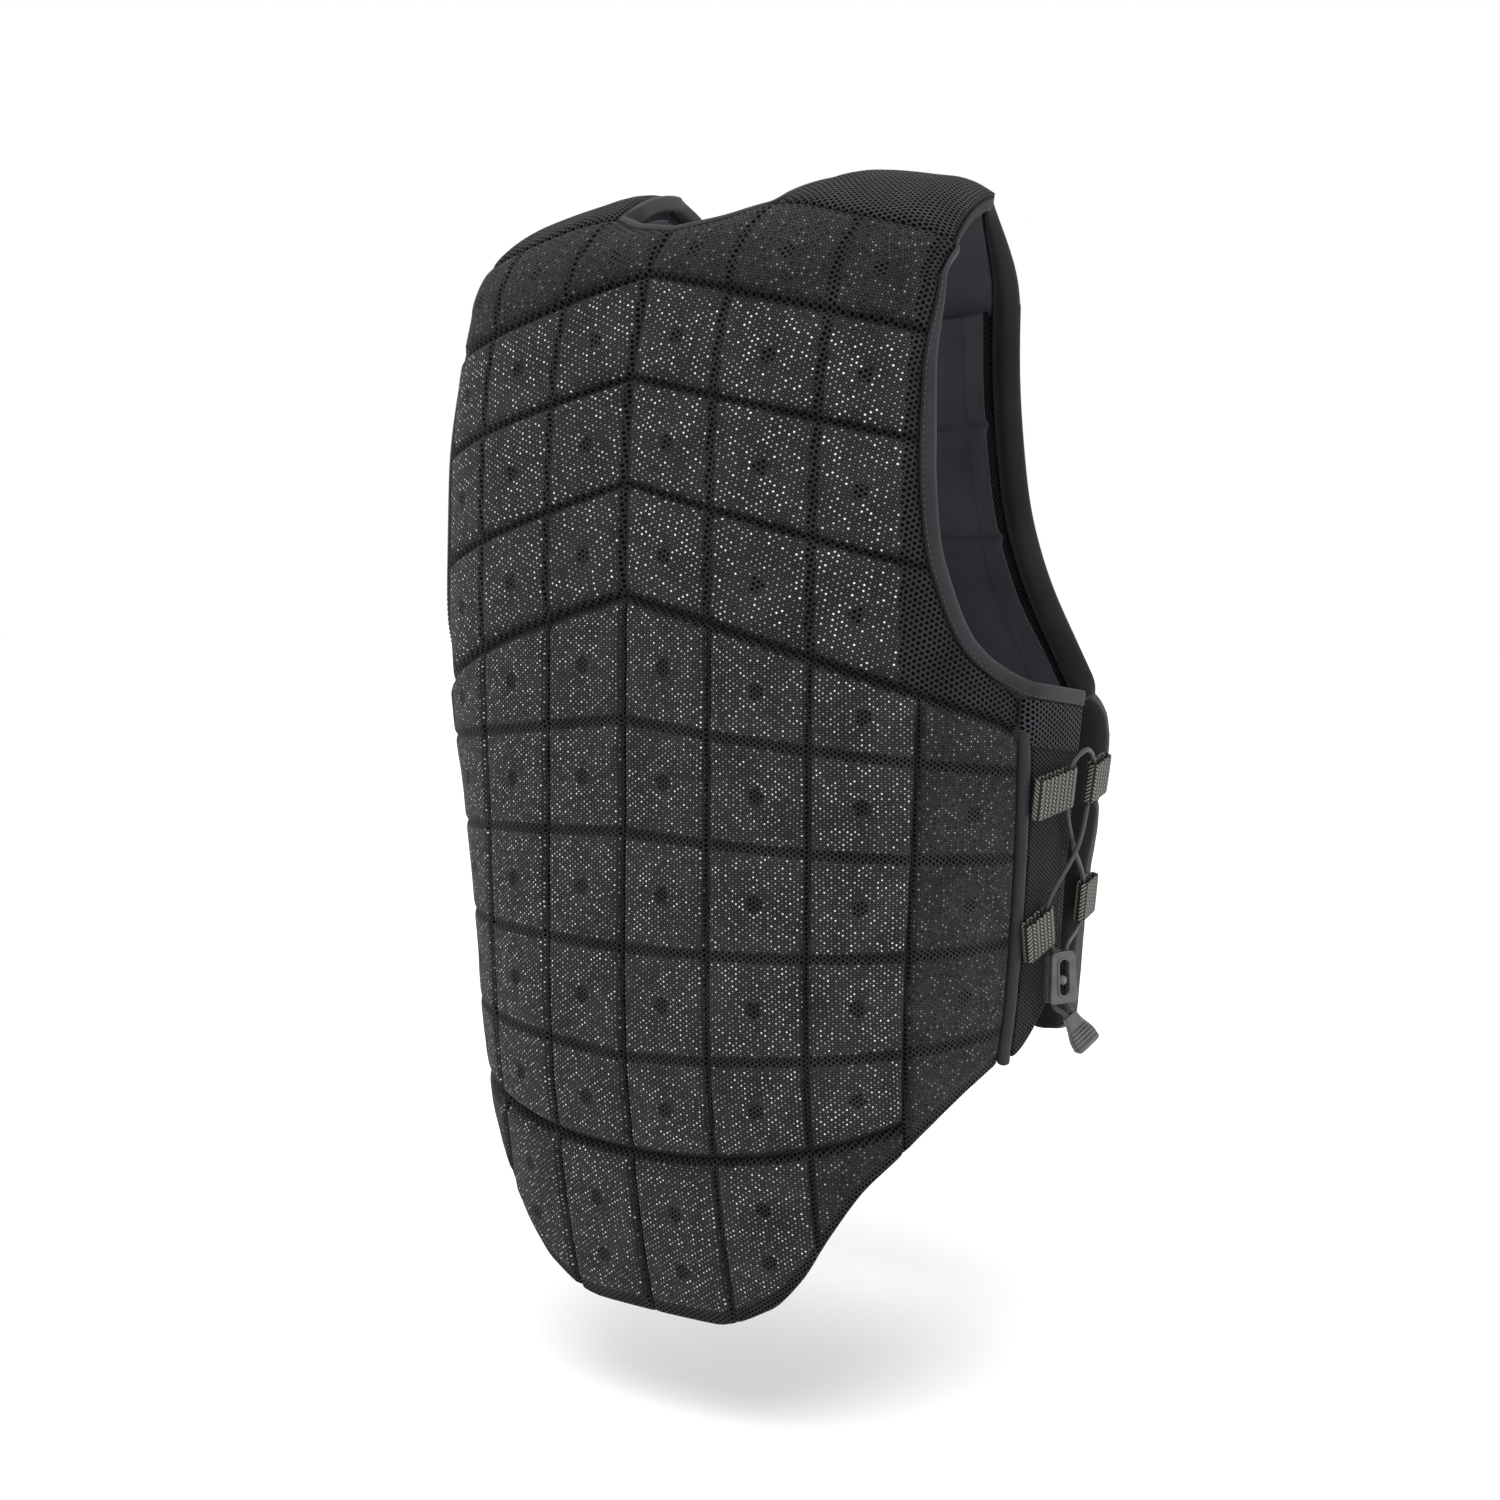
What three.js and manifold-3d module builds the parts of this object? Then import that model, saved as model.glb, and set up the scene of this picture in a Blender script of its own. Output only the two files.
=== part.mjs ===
// Equestrian body protector: a padded vest of foam blocks under mesh cloth, laced at both sides.
// It is held in the form it has when it is worn. Millimetres, +Z up, +Y to the wearer's back,
// +X to the wearer's left. The origin lies midway between the shoulders, where the straps rest.

import * as THREE from 'three';
import { mergeVertices } from 'three/addons/utils/BufferGeometryUtils.js';
import Module from 'manifold-3d';

const wasm = await Module();
wasm.setup();

// Overall sizes
const backLength = 559; // from the seat on the shoulder down to the tip of the tail
const chestWidth = 368; // outside width at the shoulder blades
const backDepth = 130; // from the side line back to the spine
const frontDepth = 138; // from the side line forward to the breastbone
const roundness = 2.6; // exponent of the rounded section: 2 is an ellipse, more is boxier

// Shoulders
const strapThickness = 14;
const crownDrop = 52; // depth below the seat at which the vest starts to curve over the shoulder
const shoulderSlope = 10; // how far the strap falls from its neck edge to its outer edge
const neckHalfWidth = 72;
const strapWidth = 58;

// Padding and its grooves
const padThickness = 18;
const grooveDepth = 3.5;
const foldDepth = 6; // the deep folds between the yoke, the lumbar pads and the tail
const grooveShare = 0.07; // half width of a groove, as a share of its block
const seamGap = 0.6; // clearance between pads that are sewn side by side
const clearance = 0.3;

// Trim
const armholeTape = 8;
const frontRoll = 12;
const neckTape = 7;
const pipingDiameter = 6;
const flapThickness = 2.5;
const zipWidth = 14;
const zipThickness = 3;
const zipTeethWidth = 5;

// Side lacing
const webbingWidth = 20;
const webbingThickness = 1.2;
const laceDiameter = 2.4;
const lockLength = 26;
const lockTop = 13.4; // width of the lock at its upper end
const lockBottom = 16.4;
const lockThickness = 7;
const lockWall = 1.8;
const lockSlotWidth = 5.6;
const lockSlotLength = 18;
const rollerDiameter = 4.8;
const pullLength = 20;
const pullNarrow = 8;
const pullWide = 15;
const pullThickness = 6;

// Sections of the outer skin. level is the depth below the shoulders as a share of backLength;
// the widths are shares of half of chestWidth, the depths of backDepth and frontDepth.
const sections = [
  { level: 0.093, backWidth: 0.967, back: 0.846, frontWidth: 0.745, front: 0.610 },
  { level: 0.165, backWidth: 0.984, back: 0.927, frontWidth: 0.730, front: 0.660 },
  { level: 0.256, backWidth: 1.000, back: 0.962, frontWidth: 0.740, front: 0.725 },
  { level: 0.352, backWidth: 1.000, back: 0.977, frontWidth: 0.800, front: 0.820 },
  { level: 0.415, backWidth: 0.989, back: 0.981, frontWidth: 0.885, front: 0.905 },
  { level: 0.469, backWidth: 0.967, back: 0.985, frontWidth: 0.950, front: 0.950 },
  { level: 0.540, backWidth: 0.924, back: 0.988, frontWidth: 0.924, front: 0.990 },
  { level: 0.612, backWidth: 0.886, back: 0.996, frontWidth: 0.886, front: 1.010 },
  { level: 0.683, backWidth: 0.859, back: 1.000, frontWidth: 0.859, front: 1.020 },
  { level: 0.755, backWidth: 0.840, back: 0.992, frontWidth: 0.840, front: 1.020 },
  { level: 0.846, backWidth: 0.815, back: 0.950, frontWidth: 0.815, front: 0.980 },
  { level: 0.925, backWidth: 0.790, back: 0.895, frontWidth: 0.790, front: 0.930 },
  { level: 1.000, backWidth: 0.765, back: 0.820, frontWidth: 0.765, front: 0.880 },
];

// Edges as tables. level as above; round is the way round the body from the centre back, or for the
// front pieces from the centre front, as a share of half of chestWidth.
const backArmholeEdge = [
  { level: 0.040, round: 0.842 },
  { level: 0.100, round: 0.837 },
  { level: 0.165, round: 0.826 },
  { level: 0.236, round: 0.829 },
  { level: 0.306, round: 0.848 },
  { level: 0.349, round: 0.886 },
  { level: 0.392, round: 0.946 },
  { level: 0.422, round: 1.043 },
  { level: 0.437, round: 1.136 },
];
const frontArmholeEdge = [
  { level: 0.093, round: 0.668 },
  { level: 0.159, round: 0.663 },
  { level: 0.249, round: 0.679 },
  { level: 0.286, round: 0.696 },
  { level: 0.343, round: 0.761 },
  { level: 0.392, round: 0.897 },
  { level: 0.440, round: 1.005 },
];
const hemEdge = [
  { round: 0.000, level: 1.000 },
  { round: 0.200, level: 1.000 },
  { round: 0.380, level: 0.978 },
  { round: 0.480, level: 0.948 },
  { round: 0.580, level: 0.902 },
  { round: 0.680, level: 0.862 },
  { round: 0.790, level: 0.832 },
  { round: 0.860, level: 0.814 },
  { round: 0.995, level: 0.785 },
  { round: 1.140, level: 0.764 },
];
const frontHemEdge = [
  { round: 0.000, level: 0.785 },
  { round: 0.450, level: 0.780 },
  { round: 0.900, level: 0.762 },
  { round: 1.150, level: 0.748 },
  { round: 1.290, level: 0.725 },
];
const backNeckEdge = [
  { round: 0.000, level: 0.034 },
  { round: 0.140, level: 0.027 },
  { round: 0.272, level: 0.0145 },
  { round: 0.560, level: 0.027 },
  { round: 0.830, level: 0.043 },
];
const frontNeckEdge = [
  { round: 0.000, level: 0.150 },
  { round: 0.110, level: 0.142 },
  { round: 0.210, level: 0.122 },
  { round: 0.290, level: 0.093 },
  { round: 0.670, level: 0.093 },
];
const pipingEdge = [
  { level: 0.437, round: 1.138 },
  { level: 0.500, round: 1.156 },
  { level: 0.560, round: 1.170 },
  { level: 0.620, round: 1.180 },
  { level: 0.660, round: 1.182 },
  { level: 0.710, round: 1.171 },
  { level: 0.752, round: 1.150 },
  { level: 0.800, round: 1.140 },
];

const halfWidth = chestWidth / 2;
const crownHeight = crownDrop + strapThickness;

// A smooth curve through one column of a table, with no overshoot, held level beyond its ends
function along(table, key, column, value) {
  const last = table.length - 1;
  const x = THREE.MathUtils.clamp(value, table[0][key], table[last][key]);
  let i = 0;
  while (i < last - 1 && x > table[i + 1][key]) i += 1;
  const secant = (k) => (table[k + 1][column] - table[k][column]) / (table[k + 1][key] - table[k][key]);
  const slope = (k) => {
    const before = secant(Math.max(k - 1, 0));
    const after = secant(Math.min(k, last - 1));
    return before * after > 0 ? 2 * before * after / (before + after) : 0;
  };
  const span = table[i + 1][key] - table[i][key];
  const t = (x - table[i][key]) / span;
  const rise = t * t * (3 - 2 * t);
  return table[i][column] * (1 - rise) + table[i + 1][column] * rise
    + span * slope(i) * t * (1 - t) ** 2 + span * slope(i + 1) * t * t * (t - 1);
}

// The crown rounds the depths off to nothing over the shoulder: the back and front have their own curve
const backCrownPower = 1.7;
const frontCrownPower = 1.4;
const crownFade = (share, power) => (1 - Math.min(share, 1) ** power) ** (1 / power);

function strapFall(x) {
  return shoulderSlope * THREE.MathUtils.clamp((Math.abs(x) - neckHalfWidth) / strapWidth, 0, 1.3);
}

// Half of a level section, walked from the centre back or the centre front, with the way round so far
const sectionSteps = 240;
const sectionStore = new Map();
function halfSection(from, drop) {
  const name = `${from} ${drop.toFixed(4)}`;
  if (sectionStore.has(name)) return sectionStore.get(name);
  const level = drop / backLength;
  const crown = Math.max(crownDrop - drop, 0) / crownHeight;
  const width = halfWidth * along(sections, 'level', from === 'back' ? 'backWidth' : 'frontWidth', level);
  const back = backDepth * along(sections, 'level', 'back', level) * crownFade(crown, backCrownPower);
  const front = frontDepth * along(sections, 'level', 'front', level) * crownFade(crown, frontCrownPower);
  const power = 2 / roundness;
  const walk = [];
  let round = 0;
  for (let k = 0; k <= sectionSteps; k += 1) {
    const angle = Math.PI * k / sectionSteps;
    const near = k <= sectionSteps / 2;
    const depth = near === (from === 'back') ? back : -front;
    const x = width * Math.abs(Math.sin(angle)) ** power;
    const y = depth * Math.abs(Math.cos(angle)) ** power;
    if (k > 0) round += Math.hypot(x - walk[k - 1].x, y - walk[k - 1].y);
    walk.push({ x, y, round });
  }
  sectionStore.set(name, walk);
  return walk;
}

function skinPoint(from, round, drop) {
  const walk = halfSection(from, drop);
  const way = Math.abs(round);
  let k = 1;
  while (k < sectionSteps && walk[k].round < way) k += 1;
  const t = (way - walk[k - 1].round) / (walk[k].round - walk[k - 1].round);
  const x = THREE.MathUtils.lerp(walk[k - 1].x, walk[k].x, t);
  const y = THREE.MathUtils.lerp(walk[k - 1].y, walk[k].y, t);
  const rise = Math.max(crownDrop - drop, 0) / crownHeight;
  const z = drop < crownDrop ? -crownDrop + rise * (crownHeight - strapFall(x)) : -drop;
  return new THREE.Vector3(Math.sign(round || 1) * x, y, z);
}

// A point lifted off the outer skin along its normal
const probe = 0.5;
function onSkin(from, round, drop, lift) {
  const point = skinPoint(from, round, drop);
  const high = from === 'front' ? Math.max(drop - probe, crownDrop) : drop - probe;
  const across = skinPoint(from, round + probe, drop).sub(skinPoint(from, Math.max(round - probe, 0), drop));
  const down = skinPoint(from, round, high + 2 * probe).sub(skinPoint(from, round, high));
  const normal = from === 'back' ? across.cross(down) : down.cross(across);
  return point.addScaledVector(normal.normalize(), lift);
}

// Meshes
function meshGeometry(points, triangles) {
  const geometry = new THREE.BufferGeometry();
  geometry.setAttribute('position', new THREE.Float32BufferAttribute(points.flatMap((p) => [p.x, p.y, p.z]), 3));
  geometry.setIndex(triangles);
  return facingOut(geometry);
}

function facingOut(geometry) {
  const at = (i) => new THREE.Vector3().fromBufferAttribute(geometry.attributes.position, geometry.index.getX(i));
  let volume = 0;
  for (let i = 0; i < geometry.index.count; i += 3) volume += at(i).dot(at(i + 1).cross(at(i + 2)));
  if (volume < 0) geometry.setIndex(Array.from(geometry.index.array).reverse());
  return geometry;
}

function mirrored(geometry) {
  const copy = geometry.clone().scale(-1, 1, 1);
  return copy.index ? facingOut(copy) : facingOut(welded(copy));
}

function welded(geometry) {
  geometry.deleteAttribute('normal');
  geometry.deleteAttribute('uv');
  return mergeVertices(geometry, 1e-3);
}

// A closed slab between two grids of points
function slab(outer, inner) {
  const rows = outer.length;
  const columns = outer[0].length;
  const points = [...outer.flat(), ...inner.flat()];
  const at = (layer, i, j) => (layer * rows + i) * columns + j;
  const triangles = [];
  const quad = (a, b, c, d) => triangles.push(a, b, c, a, c, d);
  for (let i = 0; i < rows - 1; i += 1) {
    for (let j = 0; j < columns - 1; j += 1) {
      quad(at(0, i, j), at(0, i + 1, j), at(0, i + 1, j + 1), at(0, i, j + 1));
      quad(at(1, i, j), at(1, i, j + 1), at(1, i + 1, j + 1), at(1, i + 1, j));
    }
  }
  for (let i = 0; i < rows - 1; i += 1) {
    quad(at(0, i, 0), at(1, i, 0), at(1, i + 1, 0), at(0, i + 1, 0));
    quad(at(0, i, columns - 1), at(0, i + 1, columns - 1), at(1, i + 1, columns - 1), at(1, i, columns - 1));
  }
  for (let j = 0; j < columns - 1; j += 1) {
    quad(at(0, 0, j), at(0, 0, j + 1), at(1, 0, j + 1), at(1, 0, j));
    quad(at(0, rows - 1, j), at(1, rows - 1, j), at(1, rows - 1, j + 1), at(0, rows - 1, j + 1));
  }
  return meshGeometry(points, triangles);
}

// A closed bar through rings of points
function bar(rings) {
  const size = rings[0].length;
  const triangles = [];
  for (let i = 0; i < rings.length - 1; i += 1) {
    for (let k = 0; k < size; k += 1) {
      const a = i * size + k;
      const b = i * size + (k + 1) % size;
      triangles.push(a, b, a + size, b, b + size, a + size);
    }
  }
  const end = (rings.length - 1) * size;
  for (let k = 1; k < size - 1; k += 1) {
    triangles.push(0, k + 1, k, end, end + k, end + k + 1);
  }
  return meshGeometry(rings.flat(), triangles);
}

// A tube along a smooth curve through points
function tube(points, diameter, sides, steps) {
  const section = new THREE.Shape();
  for (let k = 0; k < sides; k += 1) {
    const angle = 2 * Math.PI * k / sides;
    const x = diameter / 2 * Math.cos(angle);
    const y = diameter / 2 * Math.sin(angle);
    if (k === 0) section.moveTo(x, y);
    else section.lineTo(x, y);
  }
  section.closePath();
  const path = new THREE.CatmullRomCurve3(points, false, 'centripetal');
  return facingOut(welded(new THREE.ExtrudeGeometry(section, { steps, extrudePath: path, bevelEnabled: false })));
}

function solid(geometry) {
  const merged = welded(geometry);
  return new wasm.Manifold(new wasm.Mesh({
    numProp: 3,
    vertProperties: new Float32Array(merged.attributes.position.array),
    triVerts: new Uint32Array(merged.index.array),
  }));
}

function fromSolid(body) {
  const mesh = body.getMesh();
  const geometry = new THREE.BufferGeometry();
  geometry.setAttribute('position', new THREE.Float32BufferAttribute(mesh.vertProperties, 3));
  geometry.setIndex(Array.from(mesh.triVerts));
  return facingOut(geometry);
}

// Block fields. columns give the way round at a depth, rows the depth at a way round.
function between(list, t, x) {
  const k = Math.min(Math.floor(t), list.length - 2);
  return THREE.MathUtils.lerp(list[k](x), list[k + 1](x), t - k);
}

function place(field, a, b) {
  let round = halfWidth / 2;
  let drop = 0;
  for (let k = 0; k < 14; k += 1) {
    drop = between(field.rows, b, round);
    round = between(field.columns, a, drop);
  }
  return { round, drop };
}

const columnLines = [0, grooveShare, 0.5, 1 - grooveShare];
const rowLines = [0, grooveShare, 1 - grooveShare];
function linesOver(count, shares) {
  const lines = [];
  for (let k = 0; k < count; k += 1) lines.push(...shares.map((share) => k + share));
  return [...lines, count];
}

function downLinesOf(field) {
  return [...linesOver(field.rows.length - 1, rowLines), ...(field.extraRows ?? [])].sort((a, b) => a - b);
}

function blockPad(field) {
  const acrossLines = linesOver(field.columns.length - 1, columnLines);
  const downLines = downLinesOf(field);
  const grid = (liftAt) => acrossLines.map((a) => downLines.map((b) => {
    const { round, drop } = place(field, a, b);
    return onSkin(field.from, round, drop, liftAt(a, b));
  }));
  const groove = (a, b) => (Number.isInteger(a) || Number.isInteger(b) ? -grooveDepth : 0);
  const fold = (b) => (field.foldRows.includes(b) ? -foldDepth : 0);
  return slab(grid((a, b) => Math.min(groove(a, b), fold(b))), grid(() => -padThickness));
}

// Seams of the back. The block columns start at the spine; the chevrons fall away from it.
const level = (share) => share * backLength;
const wayRound = (share) => share * halfWidth;
const chevron = (share, slope) => (round) => level(share) + slope * round;
const yokeFold = (round) => level(0.3524) + 0.245 * round + 0.0003 * round * round;
const tailFold = (round) => level(0.846) - 0.00108 * round * round;
const firstColumn = () => wayRound(0.272);
const secondColumn = (drop) => wayRound(0.560) - 0.012 * (drop - level(0.35));
const sideGroove = (drop) => wayRound(0.842) - 0.035 * (drop - level(0.43));
const wingCorner = level(0.437);
const pipingLine = (drop = wingCorner) => wayRound(along(pipingEdge, 'level', 'round', drop / backLength));
const flapEdge = (drop) => wayRound(1.385) + 0.035 * (drop - level(0.49));
const backEdge = (drop) => wayRound(along(backArmholeEdge, 'level', 'round', drop / backLength));
const blockEdge = (drop) => Math.min(wayRound(0.800), backEdge(drop) - 4);
const hem = (round) => level(along(hemEdge, 'round', 'level', round / halfWidth));
const backNeck = (round) => level(along(backNeckEdge, 'round', 'level', round / halfWidth));
const shifted = (line, by) => (x) => line(x) + by;
const spine = () => seamGap / 2;

const backRows = [
  yokeFold,
  chevron(0.4597, 0.11),
  chevron(0.558, 0.05),
  chevron(0.660, -0.02),
  chevron(0.757, -0.07),
];

const yokeField = {
  from: 'back',
  columns: [spine, firstColumn, secondColumn, blockEdge, backEdge],
  rows: [backNeck, chevron(0.0733, 0.225), chevron(0.1646, 0.22), chevron(0.2558, 0.26), shifted(yokeFold, -seamGap)],
  extraRows: [0.5, 2.5, 3.2, 3.35, 3.5, 3.62, 3.74, 3.84],
  foldRows: [4],
};
const lumbarField = {
  from: 'back',
  columns: [spine, firstColumn, secondColumn, sideGroove],
  rows: [...backRows, tailFold],
  foldRows: [0, 5],
};
const sideField = {
  from: 'back',
  columns: [shifted(sideGroove, seamGap), shifted(pipingLine, -pipingDiameter / 2 - clearance)],
  rows: [...backRows, hem],
  foldRows: [0],
};
const tailField = {
  from: 'back',
  columns: [spine, firstColumn, secondColumn, sideGroove],
  rows: [shifted(tailFold, seamGap), hem],
  foldRows: [0],
};

// Seams of the front. Its columns start beside the zip.
const frontEdge = (drop) => wayRound(along(frontArmholeEdge, 'level', 'round', drop / backLength));
const frontNeck = (round) => level(along(frontNeckEdge, 'round', 'level', round / halfWidth));
const frontHem = (round) => level(along(frontHemEdge, 'round', 'level', round / halfWidth));
const besideZip = () => zipWidth / 2 + clearance;
const waistSeam = (round) => level(0.440) + 0.10 * Math.max(round - wayRound(0.95), 0);
const halfGirth = (drop) => halfSection('front', drop)[sectionSteps].round;
const underFlapEnd = (drop) => halfGirth(drop) - wayRound(1.277);

const chestField = {
  from: 'front',
  columns: [
    besideZip,
    () => wayRound(0.29),
    (drop) => (wayRound(0.29) + frontEdge(drop)) / 2,
    shifted(frontEdge, -frontRoll - clearance),
  ],
  rows: [frontNeck, () => level(0.195), () => level(0.295), shifted(waistSeam, -seamGap)],
  extraRows: [1.5, 2.3, 2.5, 2.7],
  foldRows: [3],
};
const waistField = {
  from: 'front',
  columns: [besideZip, () => wayRound(0.29), () => wayRound(0.60), () => wayRound(0.93), underFlapEnd],
  rows: [waistSeam, () => level(0.545), () => level(0.650), frontHem],
  foldRows: [0],
};

// The side flap of plain mesh cloth, lying over the front pad from the piping forward
const flapLift = 2 * clearance;
const wingEdge = (round) => wingCorner + 0.14 * (round - pipingLine());
function flapBottom(round) {
  const share = THREE.MathUtils.clamp((round - wayRound(1.16)) / wayRound(0.25), 0, 1);
  return level(0.755) - level(0.082) * share ** 3;
}
function sideFlap() {
  const start = (drop) => pipingLine(drop) + pipingDiameter / 2 + clearance;
  const end = flapEdge(level(0.49));
  const across = [0, 0.2, 0.4, 0.6, 0.8, 1];
  const down = [0, 0.06, 0.12, 0.2, 0.28, 0.36, 0.44, 0.52, 0.6, 0.68, 0.76, 0.84, 0.92, 1];
  const grid = (lift) => across.map((a) => down.map((b) => {
    const rough = THREE.MathUtils.lerp(start(wingCorner), end, a);
    const drop = THREE.MathUtils.lerp(wingEdge(rough) + clearance, flapBottom(rough), b);
    const round = THREE.MathUtils.lerp(start(drop), flapEdge(drop), a);
    return onSkin('back', round, drop, lift);
  }));
  return slab(grid(flapThickness + flapLift), grid(flapLift));
}

// A strap over the shoulder, from the seam on the back to the top of the chest
const strapSteps = 12;
function crownPoint(x, angle) {
  const front = angle > Math.PI / 2;
  const power = front ? frontCrownPower : backCrownPower;
  const width = halfWidth * along(sections, 'level', front ? 'frontWidth' : 'backWidth', 0);
  const depth = front ? -frontDepth * sections[0].front : backDepth * sections[0].back;
  const squeeze = (1 - (x / width) ** roundness) ** (1 / roundness);
  const y = depth * squeeze * Math.abs(Math.cos(angle)) ** (2 / power);
  const z = -crownDrop + (crownHeight - strapFall(x)) * Math.sin(angle) ** (2 / power);
  return new THREE.Vector3(x, y, z);
}

function crownAngle(drop, power) {
  const share = (crownDrop - drop) / crownHeight;
  return Math.asin(Math.min(share, 1) ** (power / 2));
}

// Strap edges: the half width of the neck side and of the armhole side at the back seam, ridge and chest.
// At the chest the armhole side ends on the chest pad's own corner.
const chestCorner = onSkin('front', frontEdge(crownDrop) - frontRoll - clearance, crownDrop, 0).x;
const strapEdges = [
  { at: 0.0, neck: 0.272, armhole: 0.800 },
  { at: 0.5, neck: 0.391, armhole: 0.700 },
  { at: 1.0, neck: 0.289, armhole: chestCorner / halfWidth },
];
function strapPoint(across, t, lift) {
  const neck = wayRound(along(strapEdges, 'at', 'neck', t));
  const armhole = wayRound(along(strapEdges, 'at', 'armhole', t));
  const x = THREE.MathUtils.lerp(neck, armhole, across);
  const start = crownAngle(backNeck(x) - 1.5 * seamGap, backCrownPower);
  const finish = Math.PI - crownAngle(crownDrop - seamGap, frontCrownPower);
  const angle = THREE.MathUtils.lerp(start, finish, t);
  const sideways = crownPoint(x + probe, angle).sub(crownPoint(x - probe, angle));
  const onward = t === 1 ? new THREE.Vector3(0, 0, -1) : crownPoint(x, angle + 0.01).sub(crownPoint(x, angle));
  return crownPoint(x, angle).addScaledVector(onward.cross(sideways).normalize(), lift);
}

function shoulderStrap() {
  const grid = (lift) => [0, 0.33, 0.67, 1].map((a) => Array.from({ length: strapSteps + 1 }, (_, k) => (
    strapPoint(a, k / strapSteps, lift)
  )));
  return slab(grid(0), grid(-strapThickness));
}

// Trim that follows an edge: the edge is a list of points with the way out of the panel and the skin's normal
function edgeFrame(from, round, drop, sideways, downways) {
  const normal = onSkin(from, round, drop, 1).sub(onSkin(from, round, drop, 0));
  const point = onSkin(from, round, drop, 0);
  const outward = onSkin(from, round + sideways, drop + downways, 0).sub(point);
  outward.addScaledVector(normal, -outward.dot(normal)).normalize();
  return { point, outward, normal };
}

// A bound edge: a rounded tape of the given width and height, standing just off the panel's wall
function edgeTape(frames, width, top, bottom) {
  return bar(frames.map((frame) => {
    const high = frame.top ?? top;
    const low = frame.bottom ?? bottom;
    const corner = Math.min(width, high - low) * 0.25;
    const outline = [
      [clearance, high - corner / 2],
      [width / 2, high],
      [width - corner / 2, high - corner],
      [width, (high + low) / 2],
      [width - corner / 2, low + corner],
      [clearance, low],
    ];
    return outline.map(([out, up]) => (
      frame.point.clone().addScaledVector(frame.outward, out).addScaledVector(frame.normal, up)
    ));
  }));
}

// Frames along an edge given as points with a way round and a depth
function framesAlong(from, spots, turn) {
  return spots.map((spot, k) => {
    const before = spots[Math.max(k - 1, 0)];
    const after = spots[Math.min(k + 1, spots.length - 1)];
    const roundStep = after.round - before.round;
    const dropStep = after.drop - before.drop;
    const length = Math.hypot(roundStep, dropStep);
    return edgeFrame(from, spot.round, spot.drop, turn * dropStep / length, -turn * roundStep / length);
  });
}

// The bound edges follow the pads' own corners, so that the tape lies along their walls
const edgeSpots = (field, a) => downLinesOf(field).map((b) => place(field, a, b));
const topSpots = (field) => columnLines.concat(1).map((a) => place(field, a, 0));

function armholeTapeFrames() {
  const spots = edgeSpots(yokeField, yokeField.columns.length - 1);
  while (spots[spots.length - 1].drop > wingCorner - probe) spots.pop();
  const wingSteps = 5;
  for (let k = 0; k <= wingSteps; k += 1) {
    const round = THREE.MathUtils.lerp(pipingLine(), flapEdge(wingCorner), k / wingSteps);
    spots.push({ round, drop: wingEdge(round) });
  }
  const frames = framesAlong('back', spots, 1);
  frames.slice(-wingSteps).forEach((frame) => {
    frame.top = flapThickness + 3 * clearance;
    frame.bottom = clearance;
  });
  return frames;
}

// Frames over the shoulder strap's neck side (across 0) or armhole side (across 1)
function strapFrame(across, t, inset) {
  const point = strapPoint(across, t, 0);
  const normal = strapPoint(across, t, 1).sub(point);
  const outward = point.clone().sub(strapPoint(1 - across, t, 0));
  outward.addScaledVector(normal, -outward.dot(normal)).normalize();
  return { point: point.addScaledVector(outward, inset), outward, normal };
}
function strapFrames(across, inset) {
  return Array.from({ length: strapSteps - 1 }, (_, k) => strapFrame(across, (k + 1) / strapSteps, inset));
}

const frontRollFrames = () => [
  ...strapFrames(1, clearance),
  ...framesAlong('front', edgeSpots(chestField, chestField.columns.length - 1), 1),
];

// The strap's neck side twists, so the neck tape keeps further off it
const strapInset = 1.6;

// The outward way at a corner between two edges, long enough to keep the tape clear of both
function mitre(frame, next) {
  const share = 1 + frame.outward.dot(next.outward);
  frame.outward = frame.outward.clone().add(next.outward).divideScalar(share);
}

function neckTapeFrames() {
  const back = framesAlong('back', topSpots(yokeField), 1);
  const strap = strapFrames(0, strapInset);
  const front = framesAlong('front', topSpots(chestField).reverse(), -1);
  back[0].outward.setX(0).normalize();
  const end = strapFrame(0, 1, strapInset);
  front[0].point = end.point;
  front[0].normal = end.normal;
  mitre(back[back.length - 1], strap[0]);
  mitre(front[0], end);
  return [...back, ...strap, ...front];
}

// The cord piped into the seam between the side pad and the flap
function sidePiping() {
  const points = [];
  const top = level(0.468);
  const bottom = level(0.752);
  const count = 9;
  for (let k = 0; k < count; k += 1) {
    const drop = THREE.MathUtils.lerp(top, bottom, k / (count - 1));
    points.push(onSkin('back', pipingLine(drop), drop, 0));
  }
  return tube(points, pipingDiameter, 8, 16);
}

// The closed zip down the centre front: two tapes with the teeth standing between them
function frontZip() {
  const outline = [
    [-zipWidth / 2, 0],
    [-zipTeethWidth / 2, 0],
    [-zipTeethWidth / 2, zipThickness * 0.6],
    [zipTeethWidth / 2, zipThickness * 0.6],
    [zipTeethWidth / 2, 0],
    [zipWidth / 2, 0],
    [zipWidth / 2, -zipThickness],
    [-zipWidth / 2, -zipThickness],
  ];
  const steps = 12;
  const rings = [];
  for (let k = 0; k <= steps; k += 1) {
    const drop = THREE.MathUtils.lerp(frontNeck(0) + seamGap, frontHem(0) - seamGap, k / steps);
    const centre = onSkin('front', 0, drop, -grooveDepth - zipThickness / 2).setX(0);
    const normal = onSkin('front', 0, drop, 1).sub(onSkin('front', 0, drop, 0)).setX(0).normalize();
    rings.push(outline.map(([x, up]) => centre.clone().addScaledVector(normal, up).setX(x)));
  }
  return bar(rings);
}

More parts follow.
